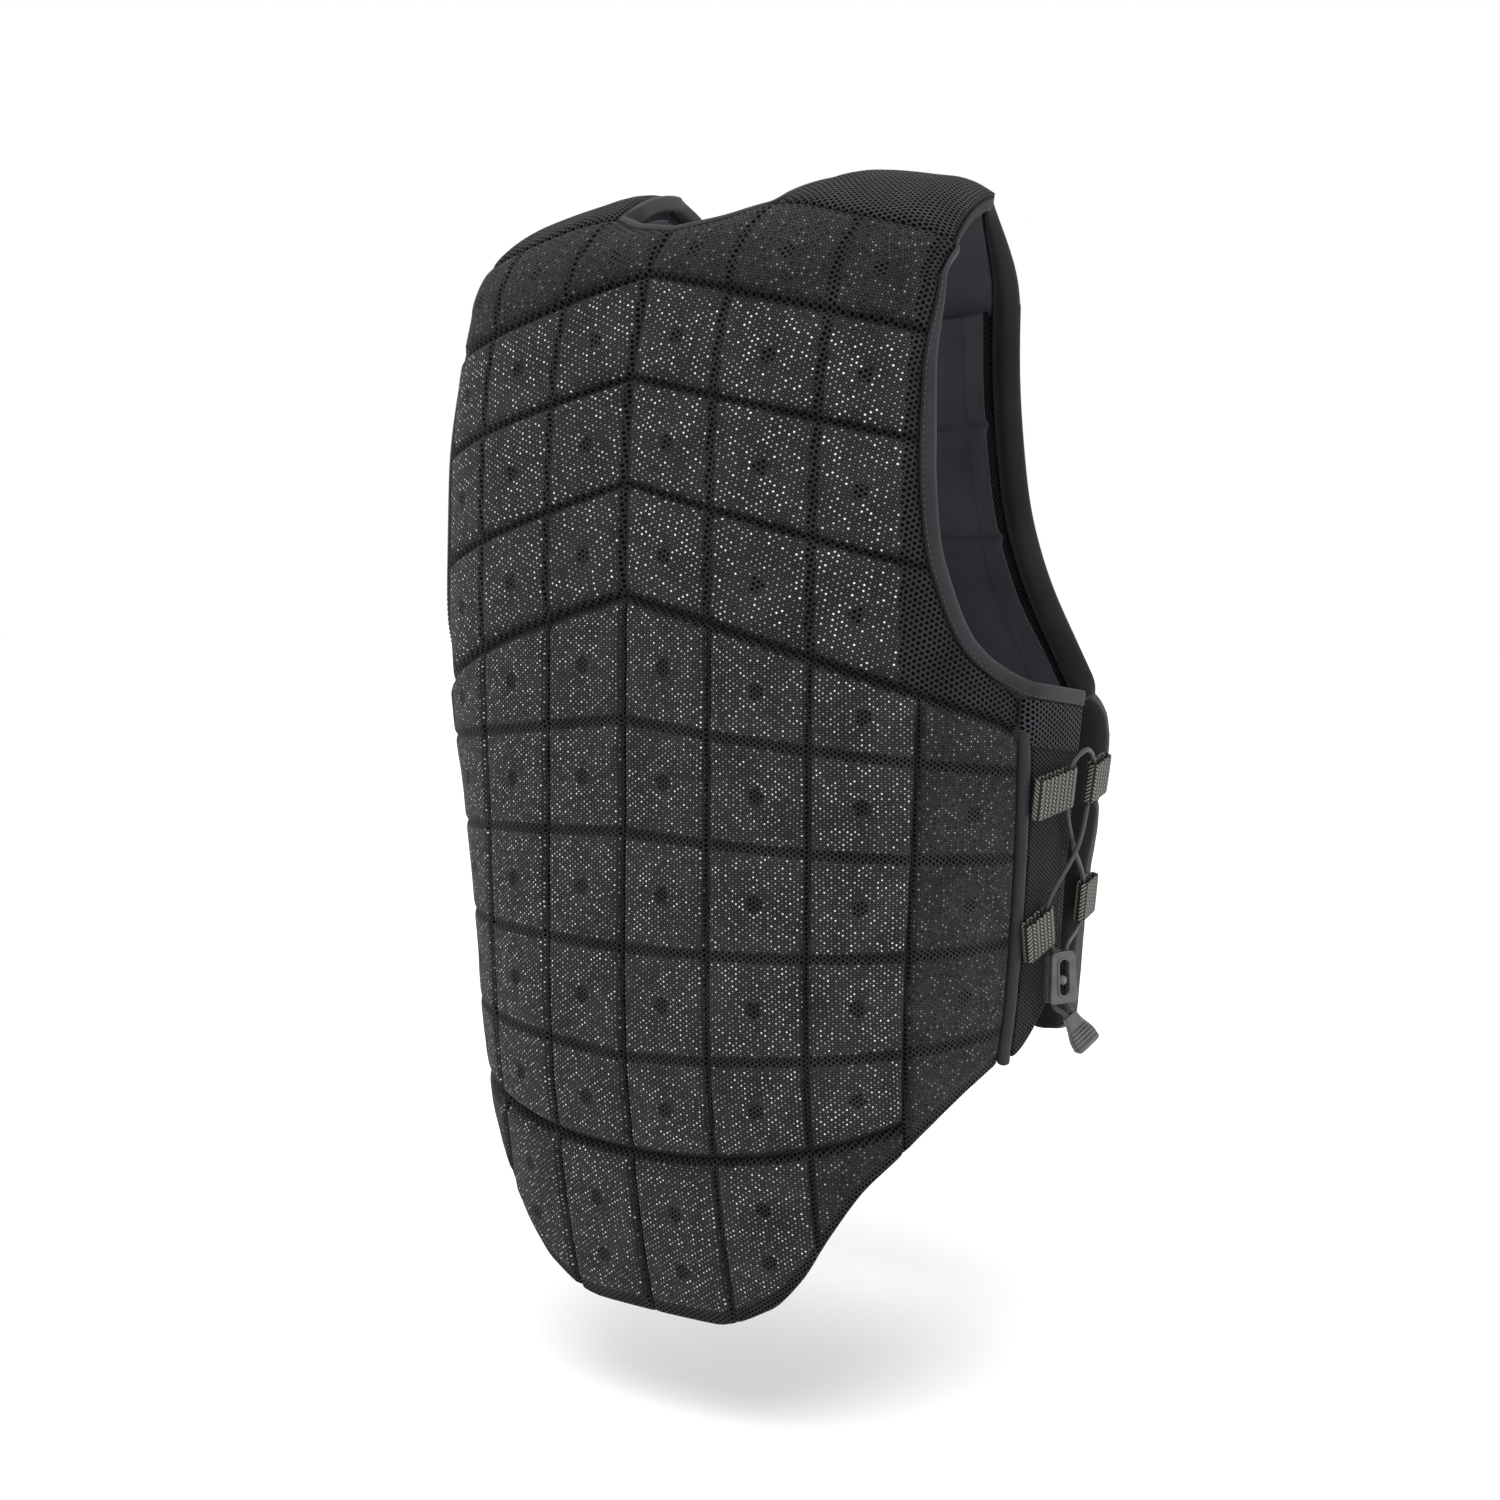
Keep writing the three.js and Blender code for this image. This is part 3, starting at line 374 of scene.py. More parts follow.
BACK_PAD = {"side": "back", "slot": "block_mesh", "fill": 0.8, "grain": (1, 1, 0), "borders": [],
            "dimples": []}
FRONT_PAD = {**BACK_PAD, "side": "front"}
HEM_STRIP = [lambda way, drop: drop - hem(way) + HEM_BORDER]
# Each field's glint share sets how many painted highlights show in the holes: fewer on the yoke's top row, on
# the sides and towards the tail's outer edge, where the cloth turns away from the light and the view.
FIELDS = {
    "yoke": {
        **BACK_PAD, "grain": (0.73, 0.84, 0.165), "edge_fade": level(0.405),
        "painted_glint_share": lambda way, drop: 0.3 + 0.7 * smooth((drop - level(0.0733) - 0.225 * way) / 10),
        "columns": [spine, first_column, second_column, block_edge, back_edge],
        "rows": [back_neck, chevron(0.0733, 0.225), chevron(0.1646, 0.22), chevron(0.2558, 0.26),
                 shifted(yoke_fold, SEAM_OVERLAP)],
        "widths": [50, 53, 46, 40], "heights": [46, 52, 52, 54],
        "column_grooves": ["spine", "bridged", "bridged", "bridged", "edge"],
        "row_grooves": ["soft", "chevron", "chevron", "chevron", "fold"],
        "borders": [lambda way, drop: way - block_edge(drop)],
        "dimples": [(a + 0.5, b + 0.52) for a in range(3) for b in range(4)],
    },
    "lumbar": {
        **BACK_PAD, "painted_glint_share": lambda way, drop: 1 + 0 * way,
        "columns": [spine, first_column, second_column, side_groove],
        "rows": [*back_rows, tail_fold],
        "widths": [50, 53, 50], "heights": [62, 58, 56, 54, 50],
        "column_grooves": ["crease", "crease", "crease", "crease"],
        "row_grooves": ["fold", "bridged", "bridged", "bridged", "bridged", "fold"],
        "dimples": [(a + 0.5, b + 0.5) for a in range(3) for b in range(5)],
    },
    "side": {
        **BACK_PAD, "painted_glint_share": lambda way, drop: 0.35 + 0 * way,
        "columns": [shifted(side_groove, -SEAM_OVERLAP), shifted(piping_line, -0.6 * PIPING_DIAMETER / 2)],
        "rows": [*back_rows, hem],
        "widths": [52], "heights": [60, 54, 52, 50, 30],
        "column_grooves": ["crease", "seam"],
        "row_grooves": ["fold", "bridged", "bridged", "bridged", "bridged", "hem"],
        "borders": HEM_STRIP,
        "dimples": [(0.5, b + 0.5) for b in (1, 2, 3)],
    },
    "tail": {
        **BACK_PAD, "painted_glint_share": lambda way, drop: 1 - 0.65 * smooth((way - 95) / 20),
        "columns": [spine, first_column, second_column, side_groove],
        "rows": [shifted(tail_fold, -SEAM_OVERLAP), hem],
        "widths": [50, 53, 46], "heights": [80],
        "column_grooves": ["crease", "crease", "crease", "crease"],
        "row_grooves": ["fold", "hem"],
        "borders": HEM_STRIP,
        "dimples": [(a + 0.5, b) for a in range(2) for b in (0.33, 0.68)],
    },
    "chest": {
        **FRONT_PAD, "grain": (0.73, 0.84, 0), "painted_glint_share": lambda way, drop: 0.6 + 0 * way,
        "columns": [beside_zip, column(0.29),
                    lambda drop: (way_round(0.29) + front_edge(drop)) / 2,
                    shifted(front_edge, -ROLL_WIDTH - CLEARANCE)],
        "rows": [front_neck, row(0.195), row(0.295), shifted(waist_seam, SEAM_OVERLAP)],
        "widths": [46, 38, 38], "heights": [44, 56, 80],
        "column_grooves": ["edge", "bridged", "bridged", "edge"],
        "row_grooves": ["edge", "chevron", "chevron", "soft"],
        "dimples": [(a + 0.5, b + 0.5) for a in range(3) for b in range(3)],
    },
    "waist": {
        **FRONT_PAD, "slot": "smooth_cloth", "fill": 0.7, "painted_glint_share": lambda way, drop: 0 * way,
        "columns": [beside_zip, column(0.29), column(0.60), column(0.93), under_flap_end],
        "rows": [waist_seam, row(0.545), row(0.650), front_hem],
        "widths": [46, 57, 61, 50], "heights": [58, 58, 60],
        "column_grooves": ["edge", "soft", "soft", "soft", "hem"],
        "row_grooves": ["brow", "soft", "soft", "hem"],
    },
}


def between(lines, t, x):
    values = np.stack([np.broadcast_to(line(x), x.shape) for line in lines])
    k = np.clip(np.floor(t).astype(int), 0, len(lines) - 2)
    low = np.take_along_axis(values, k[None], 0)[0]
    high = np.take_along_axis(values, k[None] + 1, 0)[0]
    return low + (high - low) * (t - k)


def place(field, a, b):
    """The way round and the depth at column a and row b of a field."""
    a, b = np.broadcast_arrays(np.asarray(a, float), np.asarray(b, float))
    way = np.full(a.shape, HALF_WIDTH / 2)
    for _ in range(14):
        drop = between(field["rows"], b, way)
        way = between(field["columns"], a, drop)
    return way, drop


def graded(sizes, near, step, middle):
    """Grid lines over blocks of the given sizes, closer together by the seams and round the middle."""
    lines = [0.0]
    for k, size in enumerate(sizes):
        half = size / 2
        offsets = {0.0, *near, *(half - m for m in middle), half}
        last = max(near)
        count = max(1, round((half - max(middle, default=0) - last) / step))
        reach = half - max(middle, default=0)
        offsets |= {last + (reach - last) * n / count for n in range(1, count)}
        inside = sorted(o for o in offsets if 0 < o <= half)
        lines += [k + o / size for o in inside] + [k + 1 - o / size for o in reversed(inside[:-1])]
        lines.append(k + 1.0)
    return np.array(lines)


def shoulder_round(inside, drop):
    """How far the cloth is rounded off towards the armhole on the shoulder, fading out down the back."""
    near_edge = np.clip(1 - inside / SHOULDER_ROUND_REACH, 0, 1)
    return SHOULDER_ROUND * near_edge ** 1.7 * (1 - smooth(drop / level(0.24)))


def lift_and_cover(field, way, drop, relief):
    """How far the cloth stands off the skin, and how far inside a foam block a point is."""
    sunk = np.zeros(way.shape)
    cover = np.full(way.shape, 99.0)
    columns = zip(field["columns"], field["column_grooves"])
    rows = zip(field["rows"], field["row_grooves"])
    gaps = [(np.abs(way - line(drop)), kind) for line, kind in columns]
    gaps += [(np.abs(drop - line(way)), kind) for line, kind in rows]
    for distance, kind in gaps:
        half, depth, bare, power = GROOVES[kind]
        if kind == "edge" and "edge_fade" in field:
            depth = depth * (1 - 0.85 * smooth((drop - field["edge_fade"]) / 12))
        sunk += (depth * np.clip(1 - distance / half, 0, 1) ** power) ** 3
        cover = np.minimum(cover, distance - bare)
    sunk = sunk ** (1 / 3)
    if "edge_fade" in field:
        sunk += shoulder_round(back_edge(drop) - way, drop)
    for border in field["borders"]:
        inside = border(way, drop)
        sunk = np.maximum(sunk, BORDER_DEPTH * smooth((inside + 2) / 6))
        cover = np.minimum(cover, -inside)
    for a, b in field["dimples"]:
        centre_way, centre_drop = place(field, a, b)
        distance = np.hypot(way - centre_way, drop - centre_drop)
        sunk += DIMPLE_DEPTH * np.clip(1 - (distance / DIMPLE_REACH) ** 2, 0, 1) ** 2
        cover = np.minimum(cover, distance - DIMPLE_RADIUS)
    return relief - sunk, cover


# Meshes
def add_object(name, points, faces, material, slot, uv, values=None, body="vest"):
    """A closed mesh from points in millimetres, riding on a body."""
    mesh = bpy.data.meshes.new(name)
    mesh.from_pydata((np.asarray(points) * MM).tolist(), [], faces)
    mesh.update()
    corners = np.empty(len(mesh.loops), int)
    mesh.loops.foreach_get("vertex_index", corners)
    if uv is not None:
        layer = mesh.uv_layers.new(name="cloth")
        layer.data.foreach_set("uv", (np.asarray(uv)[corners] * MM).astype(np.float32).ravel())
    for key, data in (values or {}).items():
        attribute = mesh.attributes.new(key, "FLOAT", "POINT")
        attribute.data.foreach_set("value", np.asarray(data, np.float32).ravel())
    mesh.polygons.foreach_set("use_smooth", np.ones(len(mesh.polygons), bool))
    mesh.materials.append(material)
    piece = bpy.data.objects.new(name, mesh)
    bpy.context.scene.collection.objects.link(piece)
    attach(piece, body)
    return piece


def facing_out(points, faces):
    """The faces, turned round together if they enclose a negative volume."""
    volume = 0.0
    for face in faces:
        corners = points[list(face)]
        for k in range(1, len(face) - 1):
            volume += np.dot(corners[0], np.cross(corners[k], corners[k + 1]))
    return faces if volume > 0 else [tuple(reversed(face)) for face in faces]


def both_sides(stem, ending, points, faces, slot, uv=None, values=None, turned=False, material=None,
               body="vest"):
    """The piece for the wearer's left as worked out, then its mirror image for the right, each given with
    its side's name. With turned, the right one's cloth is mirrored too."""
    for side, sign in (("left", 1), ("right", -1)):
        placed = points if sign > 0 else points * (-1, 1, 1)
        facing = faces if sign > 0 else [tuple(reversed(face)) for face in faces]
        cloth = uv * (sign, 1) if turned else uv
        yield side, add_object(f"{stem}_{side}{ending}", placed, facing, material or FINISHES[slot], slot,
                               cloth, values, body.format(side))


def grid_faces(rows, columns, start=0, flip=False):
    index = start + np.arange(rows * columns).reshape(rows, columns)
    quads = np.stack([index[:-1, :-1], index[1:, :-1], index[1:, 1:], index[:-1, 1:]], -1).reshape(-1, 4)
    return [tuple(q) for q in (quads[:, ::-1] if flip else quads).tolist()]


def rim_of(rows, columns):
    index = np.arange(rows * columns).reshape(rows, columns)
    ring = [index[0, :-1], index[:-1, -1], index[-1, :0:-1], index[:0:-1, 0]]
    return np.concatenate(ring)


def shell(outer, inner, uv, bulge, wall_steps=3):
    """A closed form between two grids of points, its walls bulged out by so many millimetres."""
    rows, columns = outer.shape[:2]
    rim = rim_of(rows, columns)
    inward = np.empty((rows, columns), int)
    index = np.arange(rows * columns).reshape(rows, columns)
    inward[:] = index
    inward[0] = index[1]
    inward[-1] = index[-2]
    inward[:, 0] = index[:, 1]
    inward[:, -1] = index[:, -2]
    flat = outer.reshape(-1, 3)
    below = inner.reshape(-1, 3)
    flat_uv = uv.reshape(-1, 2)
    away = unit(flat[rim] - flat[inward.ravel()[rim]])
    uv_step = unit(flat_uv[rim] - flat_uv[inward.ravel()[rim]])
    deep = np.linalg.norm(flat[rim] - below[rim], axis=-1, keepdims=True)
    points = [flat, below]
    coordinates = [flat_uv, flat_uv]
    spread = bulge.ravel()[rim][:, None]
    for k in range(1, wall_steps):
        s = k / wall_steps
        points.append(flat[rim] * (1 - s) + below[rim] * s + away * spread * math.sin(math.pi * s) ** 0.7)
        coordinates.append(flat_uv[rim] + uv_step * deep * s)
    size = rows * columns
    faces = grid_faces(rows, columns) + grid_faces(rows, columns, size, True)
    walls = [2 * size + k * len(rim) + np.arange(len(rim)) for k in range(wall_steps - 1)]
    rings = [rim, *walls, size + rim]
    for high, low in zip(rings, rings[1:]):
        onward = np.roll(high, -1)
        under = np.roll(low, -1)
        faces += [tuple(q) for q in np.stack([high, onward, under, low], -1).tolist()]
    return np.concatenate(points), faces, np.concatenate(coordinates)


def tube_faces(count, size, closed=False):
    """The faces of a row of rings of points, its ends filled or, if closed, joined up."""
    index = np.arange(count * size).reshape(count, size)
    if closed:
        index = np.concatenate([index, index[:1]])
    high, low = index[:-1], index[1:]
    quads = np.stack([high, np.roll(high, -1, 1), np.roll(low, -1, 1), low], -1).reshape(-1, 4)
    faces = [tuple(q) for q in quads.tolist()]
    if closed:
        return faces
    return faces + [tuple(index[0].tolist()), tuple(index[-1][::-1].tolist())]


def swept(centres, across, up, outline, dome=0.0, closed=False):
    """A bar through sections: the outline's two ways are across and up. Its ends are domed or joined up."""
    centres, across, up = (np.asarray(v, float) for v in (centres, across, up))
    outline = np.asarray(outline, float)
    if outline.ndim == 2:
        outline = np.broadcast_to(outline, (len(centres), *outline.shape))
    rings = centres[:, None] + across[:, None] * outline[..., :1] + up[:, None] * outline[..., 1:]
    lengths = np.concatenate([[0], np.cumsum(np.linalg.norm(np.diff(centres, axis=0), axis=-1))])
    if dome:
        for end, after in ((0, 1), (-1, -2)):
            middle = rings[end].mean(0)
            onward = unit(centres[end] - centres[after])
            caps = [middle + (rings[end] - middle) * math.cos(t) + onward * dome * math.sin(t)
                    for t in (0.5, 1.0, 1.35)]
            rings = np.concatenate([caps[::-1], rings] if end == 0 else [rings, caps])
        steps = dome * np.array([0.97, 0.84, 0.48])
        lengths = np.concatenate([lengths[0] - steps, lengths, lengths[-1] + steps[::-1]])
    points = rings.reshape(-1, 3)
    faces = tube_faces(*rings.shape[:2], closed)
    edges = np.linalg.norm(np.diff(outline[0], axis=0), axis=-1)
    girth = np.concatenate([[0], np.cumsum(edges)])
    uv = np.stack(np.meshgrid(lengths, girth, indexing="ij"), -1).reshape(-1, 2)
    return points, facing_out(points, faces), uv


def transport(points):
    """Unit vectors across and up at each point of a path, turning as little as they can."""
    tangent = unit(np.gradient(points, axis=0))
    across = np.empty_like(points)
    start = np.cross(tangent[0], (0, 0, 1) if abs(tangent[0][2]) < 0.9 else (0, 1, 0))
    across[0] = unit(start)
    for k in range(1, len(points)):
        side = across[k - 1] - tangent[k] * np.dot(across[k - 1], tangent[k])
        across[k] = unit(side)
    return across, np.cross(tangent, across)


def circle(radius, sides):
    angle = 2 * np.pi * np.arange(sides) / sides
    return np.stack([radius * np.cos(angle), radius * np.sin(angle)], -1)


def rounded(left, right, low, high, power=4.0, sides=20):
    """A rounded rectangle between the given sides."""
    angle = 2 * np.pi * (np.arange(sides) + 0.5) / sides
    shape = np.stack([np.cos(angle), np.sin(angle)], -1)
    shape = np.sign(shape) * np.abs(shape) ** (2 / power)
    return shape * ((right - left) / 2, (high - low) / 2) + ((right + left) / 2, (high + low) / 2)


def catmull_rom(points, count):
    """A smooth curve through points, in even steps, with the spacing of a centripetal spline."""
    p = np.asarray(points, float)
    p = np.concatenate([[2 * p[0] - p[1]], p, [2 * p[-1] - p[-2]]])
    knots = np.linalg.norm(np.diff(p, axis=0), axis=-1) ** 0.5
    fine = []
    for k in range(1, len(p) - 2):
        a, b, c = knots[k - 1], knots[k], knots[k + 1]
        start = ((p[k] - p[k - 1]) / a - (p[k + 1] - p[k - 1]) / (a + b) + (p[k + 1] - p[k]) / b) * b
        end = ((p[k + 1] - p[k]) / b - (p[k + 2] - p[k]) / (b + c) + (p[k + 2] - p[k + 1]) / c) * b
        t = (np.arange(24) / 24)[:, None]
        change = p[k + 1] - p[k]
        fine.append(p[k] + start * t + (3 * change - 2 * start - end) * t ** 2
                    + (start + end - 2 * change) * t ** 3)
    fine = np.concatenate([*fine, p[-2:-1]])
    return evenly(fine, count)


def evenly(points, count):
    way = np.concatenate([[0], np.cumsum(np.linalg.norm(np.diff(points, axis=0), axis=-1))])
    places = np.linspace(0, way[-1], count)
    return np.stack([np.interp(places, way, points[:, k]) for k in range(3)], -1)


# Materials
def linear(colour):
    """An sRGB hex colour as linear red, green, blue and alpha."""
    parts = [int(colour[k:k + 2], 16) / 255 for k in (1, 3, 5)]
    return (*[c / 12.92 if c <= 0.04045 else ((c + 0.055) / 1.055) ** 2.4 for c in parts], 1)


def add(tree, kind, inputs=None, **settings):
    """Adds a node with its settings. Each input, by name or number, is a value or another node's socket."""
    made = tree.nodes.new(kind)
    for key, value in settings.items():
        setattr(made, key, value)
    for key, value in (inputs or {}).items():
        if isinstance(value, bpy.types.NodeSocket):
            tree.links.new(value, made.inputs[key])
        else:
            made.inputs[key].default_value = value
    return made


def new_material(name, shader_values):
    made = bpy.data.materials.new(name)
    made.use_nodes = True
    shader = made.node_tree.nodes["Principled BSDF"]
    for key, value in shader_values.items():
        shader.inputs[key].default_value = value
    return made, made.node_tree, shader


def vectors(tree, operation, *values):
    """The result of a vector maths node."""
    made = add(tree, "ShaderNodeVectorMath", dict(enumerate(values)), operation=operation)
    return made.outputs["Value" if operation in ("LENGTH", "DOT_PRODUCT") else 0]


def maths(tree, operation, *values):
    """The result of a maths node."""
    return add(tree, "ShaderNodeMath", dict(enumerate(values)), operation=operation).outputs[0]


def remap(tree, value, low, high, to_low=0.0, to_high=1.0, **settings):
    """A value's place between low and high, held within them and scaled to another range."""
    inputs = {"Value": value, "From Min": low, "From Max": high, "To Min": to_low, "To Max": to_high}
    return add(tree, "ShaderNodeMapRange", inputs, **settings).outputs["Result"]


def clouds(tree, where, scale, detail, output="Fac", **settings):
    """Smooth noise, scale to the metre."""
    inputs = {"Vector": where, "Scale": scale, "Detail": detail}
    return add(tree, "ShaderNodeTexNoise", inputs, **settings).outputs[output]


def blend_of(tree, share, low, high):
    """A mix of two colours."""
    return add(tree, "ShaderNodeMix", {"Factor": share, 6: low, 7: high}, data_type="RGBA").outputs[2]


def ramp(tree, amount, *pairs):
    """A colour ramp from (place, hex colour) pairs."""
    made = add(tree, "ShaderNodeValToRGB", {"Fac": amount})
    elements = made.color_ramp.elements
    while len(elements) < len(pairs):
        elements.new(0.5)
    for element, (position, colour) in zip(elements, pairs):
        element.position = position
        element.color = linear(colour)
    return made.outputs["Color"]


def dress(tree, shader, colour, height, strength, distance):
    """Links a colour and a relief to the shader."""
    tree.links.new(colour, shader.inputs["Base Color"])
    relief = add(tree, "ShaderNodeBump", {"Height": height, "Strength": strength, "Distance": distance})
    tree.links.new(relief.outputs["Normal"], shader.inputs["Normal"])


def cloth_uv(tree):
    return add(tree, "ShaderNodeUVMap", uv_map="cloth").outputs["UV"]


def knit(name, thread, dark, wide, tall, hole, foam=None):
    """Warp-knitted polyester mesh: staggered round holes between threads. A cell of two holes is wide by tall
    and each hole has a radius hole, in millimetres. The holes are near black, painted shade of the space
    under the mesh; over foam each holds a small grey to white spot, a painted highlight standing in for light
    off the foam's skin."""
    made, tree, shader = new_material(name, {"Roughness": 0.7, "IOR": 1.5, "Sheen Weight": 0.03})
    cloth = cloth_uv(tree)
    waves = clouds(tree, cloth, 90.0, 1.0, "Color", noise_dimensions="2D")
    wander = vectors(tree, "SUBTRACT", waves, (0.5, 0.5, 0.5))
    counted = vectors(tree, "MULTIPLY", cloth, (1 / (wide * MM), 1 / (tall * MM), 0))
    counted = vectors(tree, "MULTIPLY_ADD", wander, (0.35, 0.35, 0), counted)
    distances = []
    marks = []
    for offset in (0.0, 0.5):
        moved = vectors(tree, "ADD", counted, (offset, offset, 0))
        centred = vectors(tree, "SUBTRACT", vectors(tree, "FRACTION", moved), (0.5, 0.5, 0))
        distances.append(vectors(tree, "LENGTH", vectors(tree, "MULTIPLY", centred, (wide, tall, 0))))
        marks.append(vectors(tree, "ADD", vectors(tree, "FLOOR", moved), (0.31, 0.17, offset)))
    nearest = maths(tree, "MINIMUM", *distances)
    first = maths(tree, "LESS_THAN", *distances)
    mark = add(tree, "ShaderNodeMix", {"Factor": first, 4: marks[1], 5: marks[0]}, data_type="VECTOR")
    chance = add(tree, "ShaderNodeTexWhiteNoise", {"Vector": mark.outputs[1]}, noise_dimensions="3D")
    patches = clouds(tree, cloth, 45.0, 3.0, noise_dimensions="2D")
    strand = ramp(tree, patches, (0.3, dark), (0.7, thread))
    # Near black for the holes: painted shade of the deep space under the mesh.
    behind = linear("#060606")
    if foam:
        # Painted highlights: a small disc in each hole over foam, coloured from the ramp at random and scaled
        # by the glint share attribute.
        cover = add(tree, "ShaderNodeAttribute", attribute_name="cover").outputs["Fac"]
        painted_glint_share = add(tree, "ShaderNodeAttribute", attribute_name="painted_glint_share").outputs["Fac"]
        in_hole = remap(tree, nearest, 0.75 * hole, 0.2 * hole)
        spot = maths(tree, "MULTIPLY", remap(tree, cover, -0.6, 0.6), in_hole)
        lit = maths(tree, "MULTIPLY", spot, painted_glint_share)
        behind = blend_of(tree, lit, behind, ramp(tree, chance.outputs["Value"], *foam))
    colour = blend_of(tree, remap(tree, nearest, hole + 0.15, hole - 0.1), strand, behind)
    height = remap(tree, nearest, hole - 0.2, hole + 0.4, interpolation_type="SMOOTHSTEP")
    dress(tree, shader, colour, height, 0.5, 0.0005)
    gloss = remap(tree, nearest, hole - 0.1, hole + 0.15, 0.0, 0.15)
    tree.links.new(gloss, shader.inputs["Specular IOR Level"])
    return made


def plain_cloth(name, light, dark, roughness):
    """A close smooth cloth: fine thread grain, and patches a little lighter where it has been handled."""
    made, tree, shader = new_material(name, {"Roughness": roughness, "IOR": 1.5, "Sheen Weight": 0.05,
                                            "Specular IOR Level": 0.15})
    where = add(tree, "ShaderNodeTexCoord").outputs["Object"]
    patches = clouds(tree, where, 28.0, 4.0)
    speckle = clouds(tree, where, 2000.0, 2.0)
    mixed = maths(tree, "MULTIPLY_ADD", speckle, 0.45, patches)
    dress(tree, shader, ramp(tree, mixed, (0.5, dark), (0.95, light)), speckle, 0.25, 0.0003)
    return made


def moulded(name, light, dark, roughness, grit, bump):
    """Moulded plastic: an even satin skin with a fine spark-eroded grit and faint rubbing."""
    made, tree, shader = new_material(name, {"Roughness": roughness, "IOR": 1.46})
    where = add(tree, "ShaderNodeTexCoord").outputs["Object"]
    colour = ramp(tree, clouds(tree, where, 160.0, 4.0), (0.35, dark), (0.7, light))
    dress(tree, shader, colour, clouds(tree, where, 1 / (grit * MM), 2.0), bump, 0.0001)
    return made


def twill_tape(name, light, dark, column_width, thread):
    """Woven nylon webbing: herringbone columns of pale threads on black, column_width and thread in mm."""
    made, tree, shader = new_material(name, {"Roughness": 0.6, "IOR": 1.53, "Specular IOR Level": 0.2})
    parts = add(tree, "ShaderNodeSeparateXYZ", {"Vector": cloth_uv(tree)}).outputs
    columns = maths(tree, "MULTIPLY", parts["X"], 1 / (column_width * MM))
    across = maths(tree, "PINGPONG", columns, 1.0)
    lean = maths(tree, "MULTIPLY", across, 0.9 * column_width / thread)
    rise = maths(tree, "MULTIPLY_ADD", parts["Y"], 1 / (thread * MM), lean)
    gap = remap(tree, maths(tree, "PINGPONG", across, 0.5), 0.10, 0.22)
    height = maths(tree, "MULTIPLY", maths(tree, "PINGPONG", rise, 0.5), gap)
    dress(tree, shader, ramp(tree, height, (0.15, dark), (0.42, light)), height, 0.6, 0.0005)
    return made


def braid(name, light, dark, plait):
    """A braided elastic cord: two sets of strands crossing round it, plait millimetres long."""
    made, tree, shader = new_material(name, {"Roughness": 0.45, "IOR": 1.5, "Specular IOR Level": 0.3})
    cloth = cloth_uv(tree)
    pitch_of = 1 / (plait * MM)
    waves = []
    for lean in (0.8, -0.8):
        crossed = vectors(tree, "DOT_PRODUCT", cloth, (pitch_of, lean * pitch_of, 0))
        waves.append(maths(tree, "PINGPONG", crossed, 0.5))
    height = maths(tree, "MAXIMUM", *waves)
    dress(tree, shader, ramp(tree, height, (0.1, dark), (0.5, light)), height, 0.3, 0.0003)
    return made


# Painted highlights in the holes over foam: mostly mid grey spots, and every few holes a bright glint
FOAM_PAINTED_GLINTS = ((0.0, "#4a4a4a"), (0.5, "#787673"), (0.8, "#a6a49e"), (0.97, "#f6f4ec"))
FINISHES = {
    "block_mesh": knit("warp_knit_mesh_over_foam", "#272629", "#1b1b1d", 3.6, 2.4, 0.72, FOAM_PAINTED_GLINTS),
    # Side flap mesh: its own closer, darker knit, its threads darkened further as painted shade for the
    # flap's shaded side.
    "fine_mesh": knit("close_warp_knit_mesh", "#222225", "#171719", 3.4, 2.2, 0.72),
    "smooth_cloth": plain_cloth("brushed_microfibre", "#1d1c1d", "#0f0e0f", 0.8),
    "binding": plain_cloth("bound_edge_tape", "#2b2a2e", "#1e1e21", 0.6),
    "lining": plain_cloth("tricot_lining", "#4c4b54", "#3c3b44", 0.8),
    "webbing": twill_tape("herringbone_nylon_webbing", "#7d7a70", "#0b0b0a", 3.3, 2.0),
    "lace": braid("braided_elastic_cord", "#3a363a", "#19171a", 1.2),
    "lock_plastic": moulded("moulded_nylon_lock", "#4c4c4e", "#3b3b3d", 0.27, 0.4, 0.15),
    "roller_plastic": moulded("turned_acetal_roller", "#6a6a6c", "#4c4c4e", 0.25, 0.3, 0.1),
    "pull_plastic": moulded("moulded_nylon_pull", "#50514e", "#3e3f3c", 0.36, 0.4, 0.2),
    "zip_plastic": moulded("moulded_zip_chain", "#232325", "#161618", 0.45, 0.4, 0.2),
}
stitch_thread = moulded("bonded_polyester_thread", "#3c3b3f", "#2b2a2e", 0.55, 0.3, 0.2)
# The straps are in the yoke's wider mesh, without the painted glints.
strap_mesh = knit("open_warp_knit_mesh", "#353539", "#26262a", 4.3, 2.6, 0.92)


# Padded panels
CROWN_CAP = 1.6


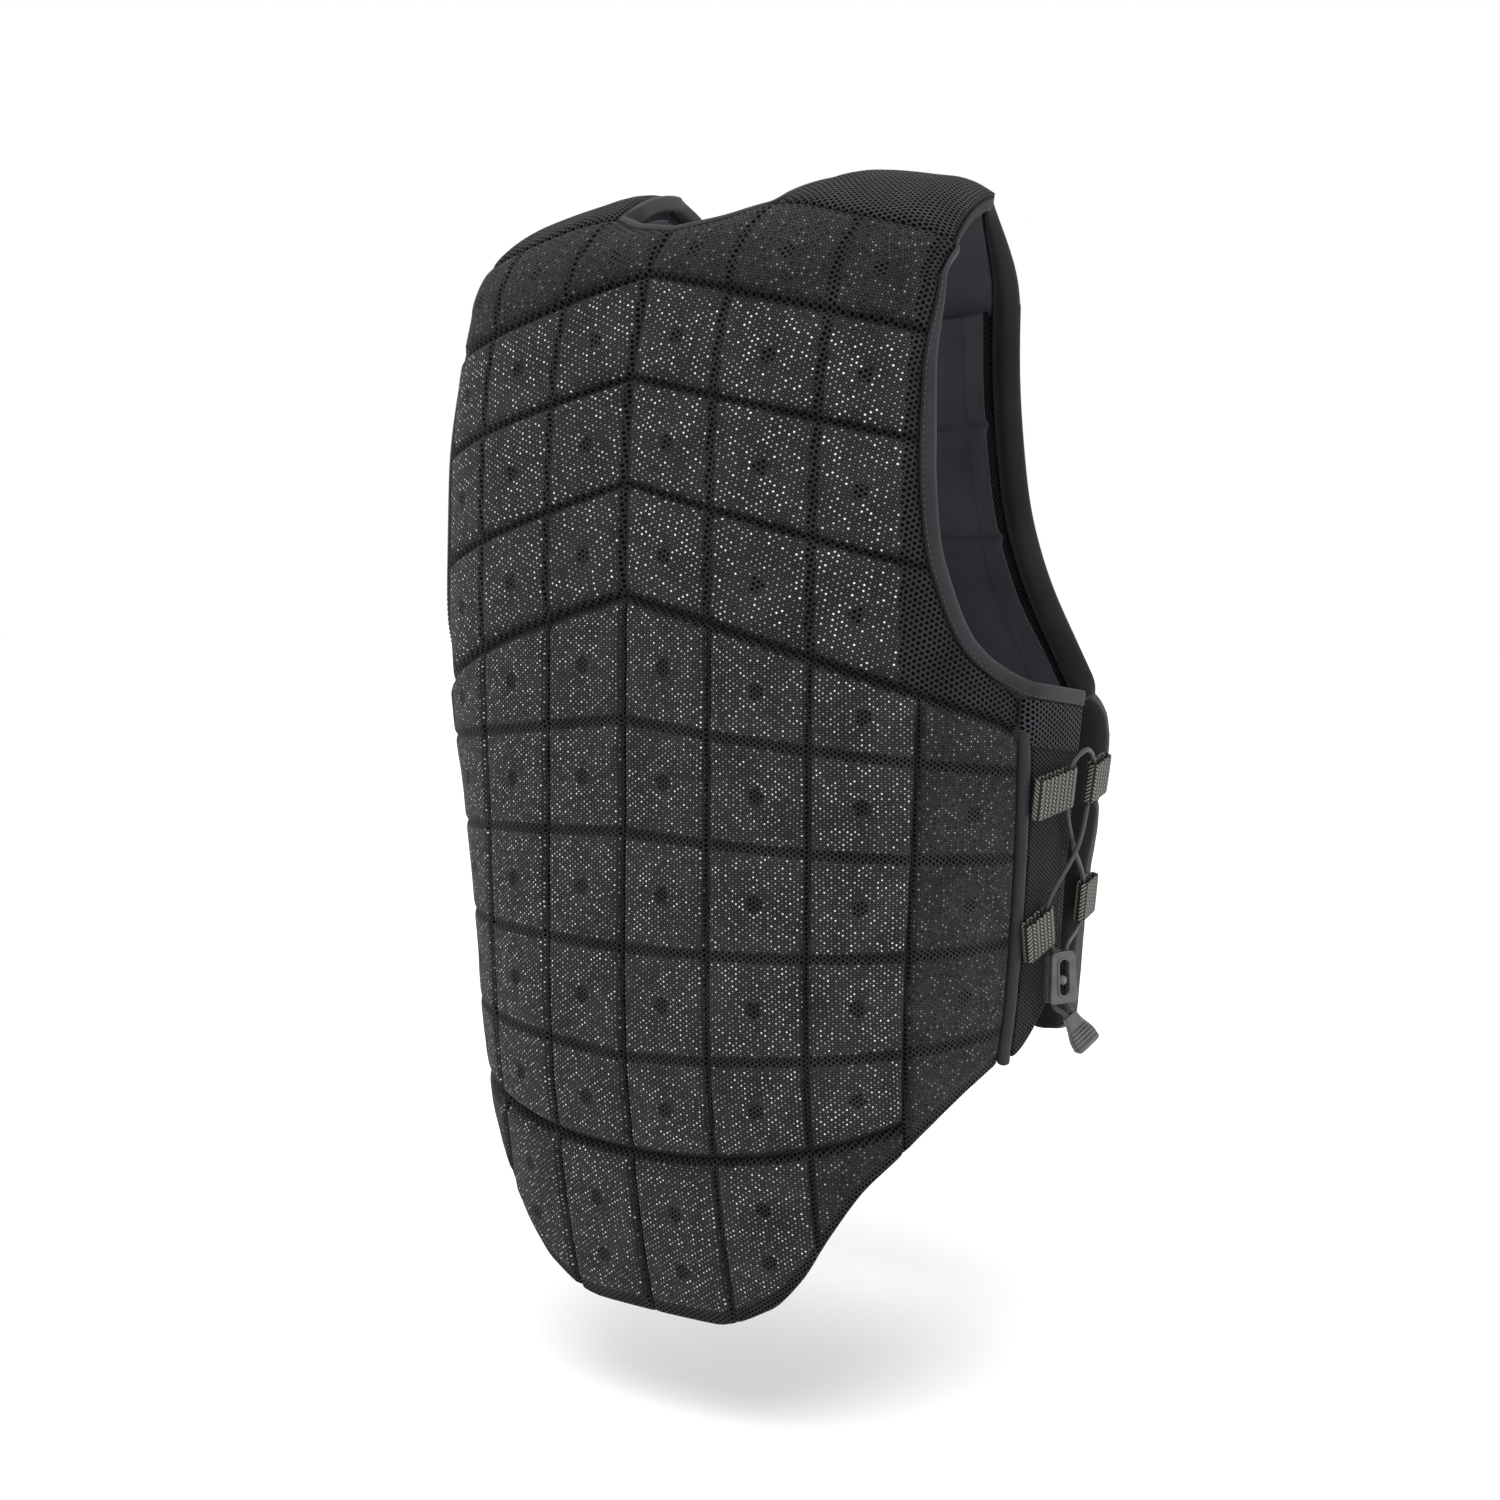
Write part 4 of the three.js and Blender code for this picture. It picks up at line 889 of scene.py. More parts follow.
def inflated(field):
    """The cover as a simulated cloth, sewn down along its seams and pushed out by the foam under it.
    Gives the grid lines it was worked out on and the rise at each of their crossings, in millimetres."""
    a_lines = graded(field["widths"], (3.4,), 6.5, ())
    b_lines = graded(field["heights"], (3.4,), 6.5, ())
    a, b = np.meshgrid(a_lines, b_lines, indexing="ij")
    way, drop = place(field, a, b)
    rest = skin(field["side"], way, drop)
    mesh = bpy.data.meshes.new("cover_cloth")
    mesh.from_pydata((rest.reshape(-1, 3) * MM).tolist(), [], grid_faces(*a.shape))
    cloth = bpy.data.objects.new("cover_cloth", mesh)
    bpy.context.scene.collection.objects.link(cloth)
    sewn = np.zeros(a.shape, bool)
    for distance in [np.abs(way - line(drop)) for line in field["columns"]]:
        sewn |= distance < 2
    for distance in [np.abs(drop - line(way)) for line in field["rows"]]:
        sewn |= distance < 2
    sewn[[0, -1]] = True
    sewn[:, [0, -1]] = True
    group = cloth.vertex_groups.new(name="sewn")
    group.add(np.flatnonzero(sewn.ravel()).tolist(), 1.0, "REPLACE")
    modifier = cloth.modifiers.new("cloth", "CLOTH")
    settings = modifier.settings
    settings.vertex_group_mass = "sewn"
    settings.quality = 5
    settings.mass = 0.3
    settings.tension_stiffness = 15
    settings.compression_stiffness = 15
    settings.use_pressure = True
    settings.uniform_pressure_force = 4
    settings.effector_weights.gravity = 0
    modifier.collision_settings.use_collision = False
    modifier.point_cache.frame_start = 1
    modifier.point_cache.frame_end = SIMULATED_FRAMES
    for number in range(1, SIMULATED_FRAMES + 1):
        bpy.context.scene.frame_set(number)
    result = cloth.evaluated_get(bpy.context.evaluated_depsgraph_get()).data
    moved = np.empty(len(result.vertices) * 3)
    result.vertices.foreach_get("co", moved)
    moved = moved.reshape(rest.shape) / MM
    bpy.data.objects.remove(cloth)
    bpy.data.meshes.remove(mesh)
    bpy.context.scene.frame_set(1)
    rise = np.sum((moved - rest) * skin_normal(field["side"], way, drop), -1)
    if rise.mean() < 0:
        rise = -rise
    return a_lines, b_lines, CROWN_CAP * np.tanh(np.maximum(rise, 0) / CROWN_CAP)


def relief_at(simulated, a, b):
    """The simulated rise read off at other places of the same field."""
    a_lines, b_lines, rise = simulated
    i = np.clip(np.searchsorted(a_lines, a) - 1, 0, len(a_lines) - 2)
    j = np.clip(np.searchsorted(b_lines, b) - 1, 0, len(b_lines) - 2)
    s = (a - a_lines[i]) / (a_lines[i + 1] - a_lines[i])
    t = (b - b_lines[j]) / (b_lines[j + 1] - b_lines[j])
    low = rise[i, j] * (1 - s) + rise[i + 1, j] * s
    high = rise[i, j + 1] * (1 - s) + rise[i + 1, j + 1] * s
    return low * (1 - t) + high * t


def uneven(points, size, amount):
    """Small bumps in hand-laid cloth, from smooth noise of the given size."""
    flat = points.reshape(-1, 3) / size
    values = np.array([noise.noise(p) for p in flat])
    return amount * values.reshape(points.shape[:-1])


def weave(field, way, drop):
    """The cloth's own coordinates: its rows run along the chevrons where it has a lean."""
    across, down, lean = field["grain"]
    return np.stack([across * (way + lean * drop), -down * (drop - lean * way)], -1)


def panel(field, name):
    near = (0.6, 1.3, 2.2, 3.2, 4.5, 6.4)
    middle = (0.0, 1.5, 3.0, 4.4, 6.2)
    a, b = np.meshgrid(graded(field["widths"], near, 2.6, middle),
                       graded(field["heights"], near, 2.6, middle), indexing="ij")
    way, drop = place(field, a, b)
    crown = relief_at(inflated(field), a, b)
    lift, cover = lift_and_cover(field, way, drop, crown)
    base = skin(field["side"], way, drop)
    lift = lift + uneven(base, 34, 0.45) + uneven(base, 9, 0.16)
    outer = on_skin(field["side"], way, drop, lift)
    lined = lining_lift(field, way, drop)
    inner = on_skin(field["side"], way, drop, lined + LINING_THICKNESS + 0.05)
    bulge = np.zeros(way.shape)
    if "hem" in field["row_grooves"]:
        bulge[:, -1] = 1.4
    if "hem" in field["column_grooves"]:
        bulge[-1, :] = 1.4
    points, faces, uv = shell(outer, inner, weave(field, way, drop), bulge)
    faces = facing_out(points, faces)
    hidden = len(points) - cover.size
    cover = np.concatenate([cover.ravel(), np.full(hidden, -5.0)])
    # The glint share at each point, which scales the painted highlights.
    painted_glint_share = np.concatenate([field["painted_glint_share"](way, drop).ravel(), np.zeros(hidden)])
    values = {"cover": cover, "painted_glint_share": painted_glint_share}
    for side, piece in both_sides(name, "_cover", points, faces, field["slot"], uv, values, True):
        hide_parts(f"{name}_{side}")


def lining_lift(field, way, drop):
    """The lining lies against the foam and sinks a little between the blocks."""
    sunk = np.zeros(way.shape)
    for distance in [np.abs(way - line(drop)) for line in field["columns"][1:-1]]:
        sunk = np.maximum(sunk, 1.2 * np.clip(1 - distance / 4, 0, 1) ** 1.5)
    for distance in [np.abs(drop - line(way)) for line in field["rows"][1:-1]]:
        sunk = np.maximum(sunk, 2.0 * np.clip(1 - distance / 4.5, 0, 1) ** 1.5)
    return -PAD_THICKNESS + sunk


def sheet_area(grid):
    """The area of a grid of points, in square metres."""
    across = grid[1:, :-1] - grid[:-1, :-1]
    down = grid[:-1, 1:] - grid[:-1, :-1]
    other = grid[1:, 1:] - grid[:-1, :-1]
    halves = np.cross(across, other), np.cross(other, down)
    return sum(np.linalg.norm(half, axis=-1).sum() for half in halves) / 2 * MM * MM


def declare_sheet(piece, grid):
    """Works out a stretched sheet's row widths, column lengths and area, and does nothing more with them."""
    widths = np.linalg.norm(np.diff(grid, axis=0), axis=-1).sum(0)
    lengths = np.linalg.norm(np.diff(grid, axis=1), axis=-1).sum(1)
    float(sheet_area(grid))


def lining(field, name):
    near = (1.2, 2.6, 4.6)
    a, b = np.meshgrid(graded(field["widths"], near, 7, ()),
                       graded(field["heights"], near, 7, ()), indexing="ij")
    way, drop = place(field, a, b)
    lift = lining_lift(field, way, drop)
    inner = on_skin(field["side"], way, drop, lift)
    outer = on_skin(field["side"], way, drop, lift + LINING_THICKNESS)
    points, faces, uv = shell(outer, inner, np.stack([way, -drop], -1), np.zeros(way.shape), 1)
    faces = facing_out(points, faces)
    for side, piece in both_sides(name, "_lining", points, faces, "lining", uv, turned=True):
        declare_sheet(piece, outer)


for name, field in FIELDS.items():
    panel(field, name)
    lining(field, name)


# Shoulder straps
def crown_point(x, angle):
    ahead = angle > np.pi / 2
    power = np.where(ahead, FRONT_CROWN_POWER, BACK_CROWN_POWER)
    width = HALF_WIDTH * np.where(ahead, SECTIONS[0, 3], SECTIONS[0, 1])
    depth = np.where(ahead, -FRONT_DEPTH * SECTIONS[0, 4], BACK_DEPTH * SECTIONS[0, 2])
    squeeze = (1 - (x / width) ** ROUNDNESS) ** (1 / ROUNDNESS)
    y = depth * squeeze * np.abs(np.cos(angle)) ** (2 / power)
    z = -CROWN_DROP + (CROWN_HEIGHT - strap_fall(x)) * np.abs(np.sin(angle)) ** (2 / power)
    return np.stack(np.broadcast_arrays(x, y, z), -1)


def crown_angle(drop, power):
    share = (CROWN_DROP - drop) / CROWN_HEIGHT
    return np.arcsin(np.minimum(share, 1) ** (power / 2))


def strap_point(across, t, lift):
    across, t = np.broadcast_arrays(np.asarray(across, float), np.asarray(t, float))
    neck = way_round(along(STRAP_NECK, t))
    armhole = way_round(along(STRAP_ARMHOLE, t))
    x = neck + (armhole - neck) * across
    start = crown_angle(back_neck(x) - SEAM_TOUCH, BACK_CROWN_POWER)
    finish = np.pi - crown_angle(CROWN_DROP - SEAM_TOUCH, FRONT_CROWN_POWER)
    angle = start + (finish - start) * t
    sideways = crown_point(x + 0.5, angle) - crown_point(x - 0.5, angle)
    onward = crown_point(x, angle + 0.01) - crown_point(x, angle)
    onward = np.where((t == 1)[..., None], (0, 0, -1), onward)
    lift = np.asarray(lift, float)
    point = crown_point(x, angle) + unit(np.cross(onward, sideways)) * lift[..., None]
    point[..., 2] -= (0.5 - 0.14 * lift) * smooth((t - 0.97) / 0.03)
    return point


def strap_reach(t):
    """The strap's width at a place along it."""
    return way_round(along(STRAP_ARMHOLE, t) - along(STRAP_NECK, t))


STRAP_CLOTH_WIDTH = 84
STRAP_CLOTH_LENGTH = 190


def shoulder_strap():
    a, t = np.meshgrid(np.concatenate([[0, 0.03, 0.07, 0.12], np.linspace(0.18, 0.72, 12),
                                       np.linspace(0.75, 1, 13)]),
                       np.concatenate([[0, 0.008, 0.018, 0.03], np.linspace(0.045, 0.955, 60),
                                       [0.97, 0.982, 0.992, 1]]), indexing="ij")
    width = strap_reach(t)
    neck_side = a * width
    arm_side = (1 - a) * width
    down = np.minimum(t, 1 - t) * 200
    sunk = 1.3 * np.clip(1 - down / 5, 0, 1) ** 2 + 1.6 * np.clip(1 - neck_side / 5, 0, 1) ** 2
    sunk += shoulder_round(arm_side, 0)
    base = strap_point(a, t, 0 * a)
    lift = 0.7 * smooth(np.minimum(neck_side, arm_side) / 14) - sunk + uneven(base, 26, 0.5)
    outer = strap_point(a, t, lift)
    inner = strap_point(a, t, 0 * a - STRAP_THICKNESS + LINING_THICKNESS + 0.05)
    uv = np.stack([a * STRAP_CLOTH_WIDTH, -t * STRAP_CLOTH_LENGTH], -1)
    points, faces, uv = shell(outer, inner, uv, np.zeros(a.shape))
    faces = facing_out(points, faces)
    coarse = a[::2, ::3], t[::2, ::3]
    upper, lower = (strap_point(*coarse, 0 * coarse[0] - STRAP_THICKNESS + rise)
                    for rise in (LINING_THICKNESS, 0))
    lined, lined_faces, lined_uv = shell(upper, lower, np.stack(coarse, -1) * STRAP_CLOTH_WIDTH,
                                         np.zeros(upper.shape[:2]), 1)
    lined_faces = facing_out(lined, lined_faces)
    covers = both_sides("shoulder_strap", "_cover", points, faces, "fine_mesh", uv, None, True, strap_mesh)
    linings = both_sides("shoulder_strap", "_lining", lined, lined_faces, "lining", lined_uv)
    for (side, piece), (_, under) in zip(covers, linings):
        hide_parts(f"shoulder_strap_{side}")
        declare_sheet(under, upper)


shoulder_strap()


# The side flap over the front pad
def wing_edge(way):
    return WING_CORNER + 0.14 * (way - piping_line())


def flap_bottom(way):
    share = np.clip((way - way_round(1.16)) / way_round(0.25), 0, 1)
    return level(0.755) - level(0.082) * share ** 1.4


def side_flap():
    a, b = np.meshgrid(np.linspace(0, 1, 26), np.linspace(0, 1, 90), indexing="ij")
    first = piping_line() + PIPING_DIAMETER / 2 + CLEARANCE
    rough = first + (flap_edge(level(0.49)) - first) * a
    top = wing_edge(rough) + CLEARANCE
    drop = top + (flap_bottom(rough) - top) * b
    start = piping_line(drop) + PIPING_DIAMETER / 2 + CLEARANCE
    way = start + (flap_edge(drop) - start) * a
    edge = np.minimum((1 - a) * 42, (1 - b) * 150)
    hemmed = 0.3 * smooth((4.5 - edge) / 1.2)
    lift = FLAP_LIFT + FLAP_THICKNESS - 0.3 + hemmed
    outer = on_skin("back", way, drop, lift)
    inner = on_skin("back", way, drop, FLAP_LIFT + 0 * a)
    points, faces, uv = shell(outer, inner, np.stack([way, -drop], -1), np.full(a.shape, 0.4))
    faces = facing_out(points, faces)
    for side, piece in both_sides("side_flap", "_cover", points, faces, "fine_mesh", uv, turned=True):
        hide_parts(f"side_flap_{side}")
        declare_sheet(piece, outer)


side_flap()

STRIP_HEIGHT = 22
STRIP_LENGTH = 45


def underarm_strip():
    """The yoke's open mesh carried on under the armhole, over the top of the flap."""
    a, b = np.meshgrid(np.linspace(0, 1, 30), np.linspace(0, 1, 20), indexing="ij")
    left = piping_line() - 1.2
    way = left + (flap_edge(WING_CORNER + 10) - left) * a
    drop = wing_edge(way) + CLEARANCE + STRIP_HEIGHT * b
    top = FLAP_LIFT + FLAP_THICKNESS
    edge = np.minimum((1 - b) * STRIP_HEIGHT, (1 - a) * STRIP_LENGTH)
    lift = top + 1.1 - 0.6 * np.clip(1 - edge / 2.5, 0, 1) ** 2
    lift = lift - 3.5 * np.clip(1 - a * STRIP_LENGTH / 7, 0, 1) ** 1.5
    outer = on_skin("back", way, drop, lift)
    inner = on_skin("back", way, drop, lift - 0.8)
    points, faces, uv = shell(outer, inner, np.stack([way, -drop], -1), np.full(a.shape, 0.2))
    faces = facing_out(points, faces)
    strips = both_sides("underarm_strip", "", points, faces, "fine_mesh", uv, None, True, strap_mesh)
    for side, piece in strips:
        declare_sheet(piece, outer)


underarm_strip()


# Bound edges
def edge_frames(side, ways, drops, turn):
    """Points along an edge, with the way out of the panel and the skin's normal at each."""
    way_step = np.gradient(ways)
    drop_step = np.gradient(drops)
    length = np.hypot(way_step, drop_step)
    point = skin(side, ways, drops)
    normal = skin_normal(side, ways, drops)
    outward = skin(side, ways + turn * drop_step / length, drops - turn * way_step / length) - point
    outward -= normal * np.sum(outward * normal, -1, keepdims=True)
    return point, unit(outward), normal


def strap_frames(across, inset, places):
    point = strap_point(across, places, 0 * places)
    normal = strap_point(across, places, 1 + 0 * places) - point
    outward = point - strap_point(1 - across, places, 0 * places)
    outward = unit(outward - normal * np.sum(outward * normal, -1, keepdims=True))
    return point + outward * inset, outward, normal


def joined(*parts):
    return [np.concatenate(group) for group in zip(*parts)]


def smoothed(frames, rounds=3):
    point, outward, normal = frames
    for _ in range(rounds):
        for values in (outward, normal):
            values[1:-1] = unit(values[:-2] + 2 * values[1:-1] + values[2:])
        point[1:-1] = (point[:-2] + 2 * point[1:-1] + point[2:]) / 4
    return point, outward, normal


def trim(name, frames, outline, slot, dome):
    point, outward, normal = frames
    points, faces, uv = swept(point, outward, normal, outline, dome)
    for side, piece in both_sides(name, "_trim", points, faces, slot, uv):
        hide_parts(f"{name}_{side}")


def armhole_frames():
    yoke = FIELDS["yoke"]
    ways, drops = place(yoke, np.full(120, 4.0), np.linspace(0.04, 4, 120))
    keep = drops < WING_CORNER - 1
    wing = np.linspace(float(piping_line()), float(flap_edge(WING_CORNER)), 20)
    ways = np.concatenate([ways[keep], wing])
    drops = np.concatenate([drops[keep], wing_edge(wing)])
    return edge_frames("back", ways, drops, 1), int(keep.sum())


armhole, wing_start = armhole_frames()
armhole = smoothed(armhole, 2)
tape_high = np.full(len(armhole[0]), -1.0)
tape_low = np.full(len(armhole[0]), -11.0)
blend = smooth((np.arange(len(tape_high)) - wing_start + 3) / 6)
tape_width = 2.0 + (TAPE_WIDTH - 2.0) * smooth((np.arange(len(tape_high)) + 12) / 75)
tape_drop = np.where(np.arange(len(tape_high)) < wing_start, -armhole[0][:, 2], WING_CORNER)
tape_high -= 1.15 * shoulder_round(0, tape_drop)
tape_low -= 0.4 * shoulder_round(0, tape_drop)
tape_high += blend * (FLAP_THICKNESS + 3 * CLEARANCE + 2)
tape_low += blend * (CLEARANCE + 11)
armhole_outline = np.stack([rounded(CLEARANCE, wide, low, high, 3.4)
                            for wide, low, high in zip(tape_width, tape_low, tape_high)])
trim("armhole_tape", armhole, armhole_outline, "binding", 1.0)

strap_places = np.linspace(1 / 12, 11 / 12, 60)
chest = FIELDS["chest"]
chest_side = place(chest, np.full(80, 3.0), np.linspace(0, 3, 80))
into_waist = np.arange(1, 10)
roll_ways = np.concatenate([chest_side[0], chest_side[0][-1] + 0.75 * into_waist])
roll_drops = np.concatenate([chest_side[1], chest_side[1][-1] + into_waist])
roll_places = np.linspace(0.012, 11 / 12, 66)
front_roll = joined(strap_frames(1, CLEARANCE, roll_places), edge_frames("front", roll_ways, roll_drops, 1))
front_roll = smoothed(front_roll, 40)
growth = np.concatenate([smooth((roll_places - 0.35) / 0.65), np.ones(len(roll_ways))])
roll_high = -8 * (1 - growth)
roll_high[-len(into_waist):] = -4.5 * smooth(into_waist / 9)
roll_width = 2 + (ROLL_WIDTH - 2) * growth
roll_low = 1 - growth - STRAP_THICKNESS
roll_outline = np.stack([rounded(CLEARANCE, wide, low, high, 2.6, 28)
                         for wide, low, high in zip(roll_width, roll_low, roll_high)])
trim("front_roll", front_roll, roll_outline, "smooth_cloth", 1.0)

neck_ways = np.linspace(0, way_round(0.272), 30)
neck_back = edge_frames("back", neck_ways, back_neck(neck_ways), 1)
neck_back[1][0] = unit(neck_back[1][0] * (0, 1, 1))
front_ways = np.linspace(way_round(0.289), ZIP_WIDTH / 2 + CLEARANCE, 34)
neck_front = edge_frames("front", front_ways, front_neck(front_ways), -1)
neck = joined(neck_back, strap_frames(0, STRAP_INSET, strap_places), neck_front)
neck = smoothed(neck, 4)
trim("neck_tape", neck, rounded(CLEARANCE, NECK_TAPE_WIDTH, -9, -1, 3.0), "binding", 1.0)

piping_drops = np.linspace(level(0.468), level(0.760), 90)
piping_point = on_skin("back", piping_line(piping_drops), piping_drops, np.zeros(90))
piping = (piping_point, *transport(piping_point))
trim("side_piping", piping, circle(PIPING_DIAMETER / 2 + 0.25, 20), "binding", 2.0)


# Side lacing
def local_frame(way, drop, lift):
    """A frame on the skin: x forward round the body, y out of it and z up."""
    point = skin("back", way, drop)
    outward = skin_normal("back", way, drop)
    up = skin("back", way, drop - 1) - point
    up = unit(up - outward * np.dot(up, outward))
    made = np.eye(4)
    made[:3, 0] = np.cross(outward, up)
    made[:3, 1] = outward
    made[:3, 2] = up
    made[:3, 3] = point + outward * lift
    return made


def hanging_frame(way, drop, lift, turn, lean):
    """A frame for a part that hangs off the lace: turned towards the back and leaning, in degrees."""
    base = local_frame(way, drop, lift)
    outward = Vector((base[0, 1], base[1, 1], 0)).normalized()
    outward = Matrix.Rotation(math.radians(turn), 3, "Z") @ outward
    up = Matrix.Rotation(math.radians(lean), 3, outward) @ Vector((0, 0, 1))
    base[:3, 0] = outward.cross(up)
    base[:3, 1] = outward
    base[:3, 2] = up
    return base


def put(points, matrix):
    return np.asarray(points, float) @ matrix[:3, :3].T + matrix[:3, 3]


# Webbing loops: the middle's way round and level, the length, the height off the skin and the tilt
LOOPS = {
    "back_top": (1.250, 0.519, 33, OVER_FLAP, 0),
    "back_bottom": (1.239, 0.646, 25, OVER_FLAP, 14),
    "front_top": (1.530, 0.515, 23, CLEARANCE, 0),
    "front_bottom": (1.568, 0.628, 24, CLEARANCE, 0),
}


def loop_frame(name):
    way, share, _, base, tilt = LOOPS[name]
    turn = np.array(Matrix.Rotation(-math.radians(tilt), 4, "Y"))
    return local_frame(way_round(way), level(share), base + LOOP_THICKNESS / 2) @ turn


def webbing_loop(name):
    length = LOOPS[name][2]
    middle = (LOOP_THICKNESS - WEBBING_THICKNESS) / 2
    straight = (length - LOOP_THICKNESS) / 2
    turns = np.linspace(-np.pi / 2, np.pi / 2, 15)
    right = np.stack([straight + middle * np.cos(turns), middle * np.sin(turns)], -1)
    left = -right
    path = np.concatenate([right, np.linspace(right[-1], left[0], 14)[1:-1], left,
                           np.linspace(left[-1], right[0], 14)[1:-1]])
    path = np.stack([path[:, 0], path[:, 1], 0 * path[:, 0]], -1)
    tangent = unit(np.roll(path, -1, 0) - np.roll(path, 1, 0))
    outward = np.cross(tangent, (0, 0, 1))
    half = WEBBING_THICKNESS / 2
    section = rounded(-half, half, -WEBBING_WIDTH / 2, WEBBING_WIDTH / 2, 7.0, 24)
    up = np.broadcast_to((0.0, 0.0, 1.0), path.shape)
    points, faces, _ = swept(path, outward, up, section, closed=True)
    lengths = np.concatenate([[0], np.cumsum(np.linalg.norm(np.diff(path, axis=0), axis=-1))])
    uv = np.stack([np.repeat(lengths, len(section)), np.tile(section[:, 1], len(path))], -1)
    placed = put(points, loop_frame(name))
    for side, piece in both_sides(f"loop_{name}", "_webbing", placed, faces, "webbing", uv):
        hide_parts(f"loop_{name}_{side}")


for name in LOOPS:
    webbing_loop(name)

LOCK_WAY = way_round(LOOPS["back_bottom"][0]) + 15
LOCK_DROP = level(LOOPS["back_bottom"][1]) + (WEBBING_WIDTH + LOCK_LENGTH) / 2
LOCK_LIFT = OVER_FLAP + LOCK_THICKNESS / 2 + 5
LOCK_TURN = 27
lock_frame = hanging_frame(LOCK_WAY, LOCK_DROP, LOCK_LIFT, LOCK_TURN, -2)
pull_frame = hanging_frame(LOCK_WAY + 3, LOCK_DROP + LOCK_LENGTH / 2 + 6.5, LOCK_LIFT + 4.5, LOCK_TURN, -35)


def thread_loop(name, side, way):
    reach = side * (LOOPS[name][2] - LOOP_THICKNESS) / 2
    half = WEBBING_WIDTH / 2 + 1
    return put([(reach, 0, -way * half), (reach, 0, 0), (reach, 0, way * half)], loop_frame(name))


def lace():
    def strand(side):
        above = put([(side * PULL_NARROW / 4, 0, CLEARANCE), (side * PULL_NARROW / 4, 0, 2)], pull_frame)
        half = LOCK_LENGTH / 2
        heights = (-half - 1.5, -half + 3, half - 3, half + 1)
        inside = put([(side * STRAND_SPREAD, 0, z) for z in heights], lock_frame)
        return np.concatenate([above, inside])

    def over(way, share, lift):
        return on_skin("back", way_round(way), level(share), lift)[None]

    route = np.concatenate([
        strand(-1),
        thread_loop("back_bottom", 1, 1),
        over(1.391, 0.571, 8.6),
        thread_loop("front_top", -1, 1),
        over(1.402, 0.485, 6),
        thread_loop("back_top", 1, -1),
        over(1.397, 0.571, 5.4),
        thread_loop("front_bottom", -1, -1),
        strand(1)[::-1],
    ])
    path = catmull_rom(route, 420)
    across, up = transport(path)
    points, faces, uv = swept(path, across, up, circle(LACE_DIAMETER / 2, 12), 0.8)
    for side, piece in both_sides("lace", "_cord", points, faces, "lace", uv):
        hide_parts(f"lace_{side}")


lace()


def stadium(length, width, steps=14):
    straight = (length - width) / 2
    turns = np.linspace(-np.pi / 2, np.pi / 2, steps)
    right = np.stack([straight + width / 2 * np.cos(turns), width / 2 * np.sin(turns)], -1)
    return np.concatenate([right, -right])


def soft_corners(corners, radius, steps=7):
    corners = np.asarray(corners, float)
    outline = []
    for k, corner in enumerate(corners):
        before = corner + unit(corners[k - 1] - corner) * radius
        after = corner + unit(corners[(k + 1) % len(corners)] - corner) * radius
        for t in np.linspace(0, 1, steps):
            outline.append(before * (1 - t) ** 2 + corner * 2 * t * (1 - t) + after * t * t)
    return np.array(outline)


def evaluated_mesh(piece):
    return bpy.data.meshes.new_from_object(piece.evaluated_get(bpy.context.evaluated_depsgraph_get()))


def plates(name, layers, bevel):
    """Bevelled flat pieces in x and z. Each layer is its outlines, holes after the first, and the heights in
    y of its two faces."""
    points = []
    faces = []
    for outlines, low, high in layers:
        curve = bpy.data.curves.new(name, "CURVE")
        curve.dimensions = "2D"
        curve.fill_mode = "BOTH"
        curve.extrude = (high - low) / 2 - bevel
        curve.bevel_depth = bevel
        curve.bevel_resolution = 2
        curve.offset = -bevel
        for outline in outlines:
            spline = curve.splines.new("POLY")
            spline.points.add(len(outline) - 1)
            spline.use_cyclic_u = True
            for point, (x, z) in zip(spline.points, outline):
                point.co = (x, z, 0, 1)
        shape = bpy.data.objects.new(name, curve)
        bpy.context.scene.collection.objects.link(shape)
        bpy.context.view_layer.update()
        mesh = evaluated_mesh(shape)
        start = len(points)
        for vertex in mesh.vertices:
            x, z, y = vertex.co
            points.append((x, (high + low) / 2 - y, z))
        faces += [tuple(start + v for v in polygon.vertices) for polygon in mesh.polygons]
        bpy.data.objects.remove(shape)
        bpy.data.curves.remove(curve)
        bpy.data.meshes.remove(mesh)
    return np.array(points), faces


def hard_piece(name, points, faces, matrix, slot, node, body="vest", angle=35):
    """A moulded piece on each side, its doubled points merged and its hard edges kept crisp."""
    for side, piece in both_sides(name, "", put(points, matrix), faces, slot, body=body):
        tidy_normals(piece.data, angle)
        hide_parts(f"{node}_{side}")


def tidy_normals(mesh, angle):
    work = bmesh.new()
    work.from_mesh(mesh)
    bmesh.ops.remove_doubles(work, verts=work.verts, dist=0.000002)
    bmesh.ops.recalc_face_normals(work, faces=work.faces)
    limit = math.radians(angle)
    for edge in work.edges:
        edge.smooth = edge.is_manifold and edge.calc_face_angle(0) < limit
    work.to_mesh(mesh)
    work.free()
    mesh.update()


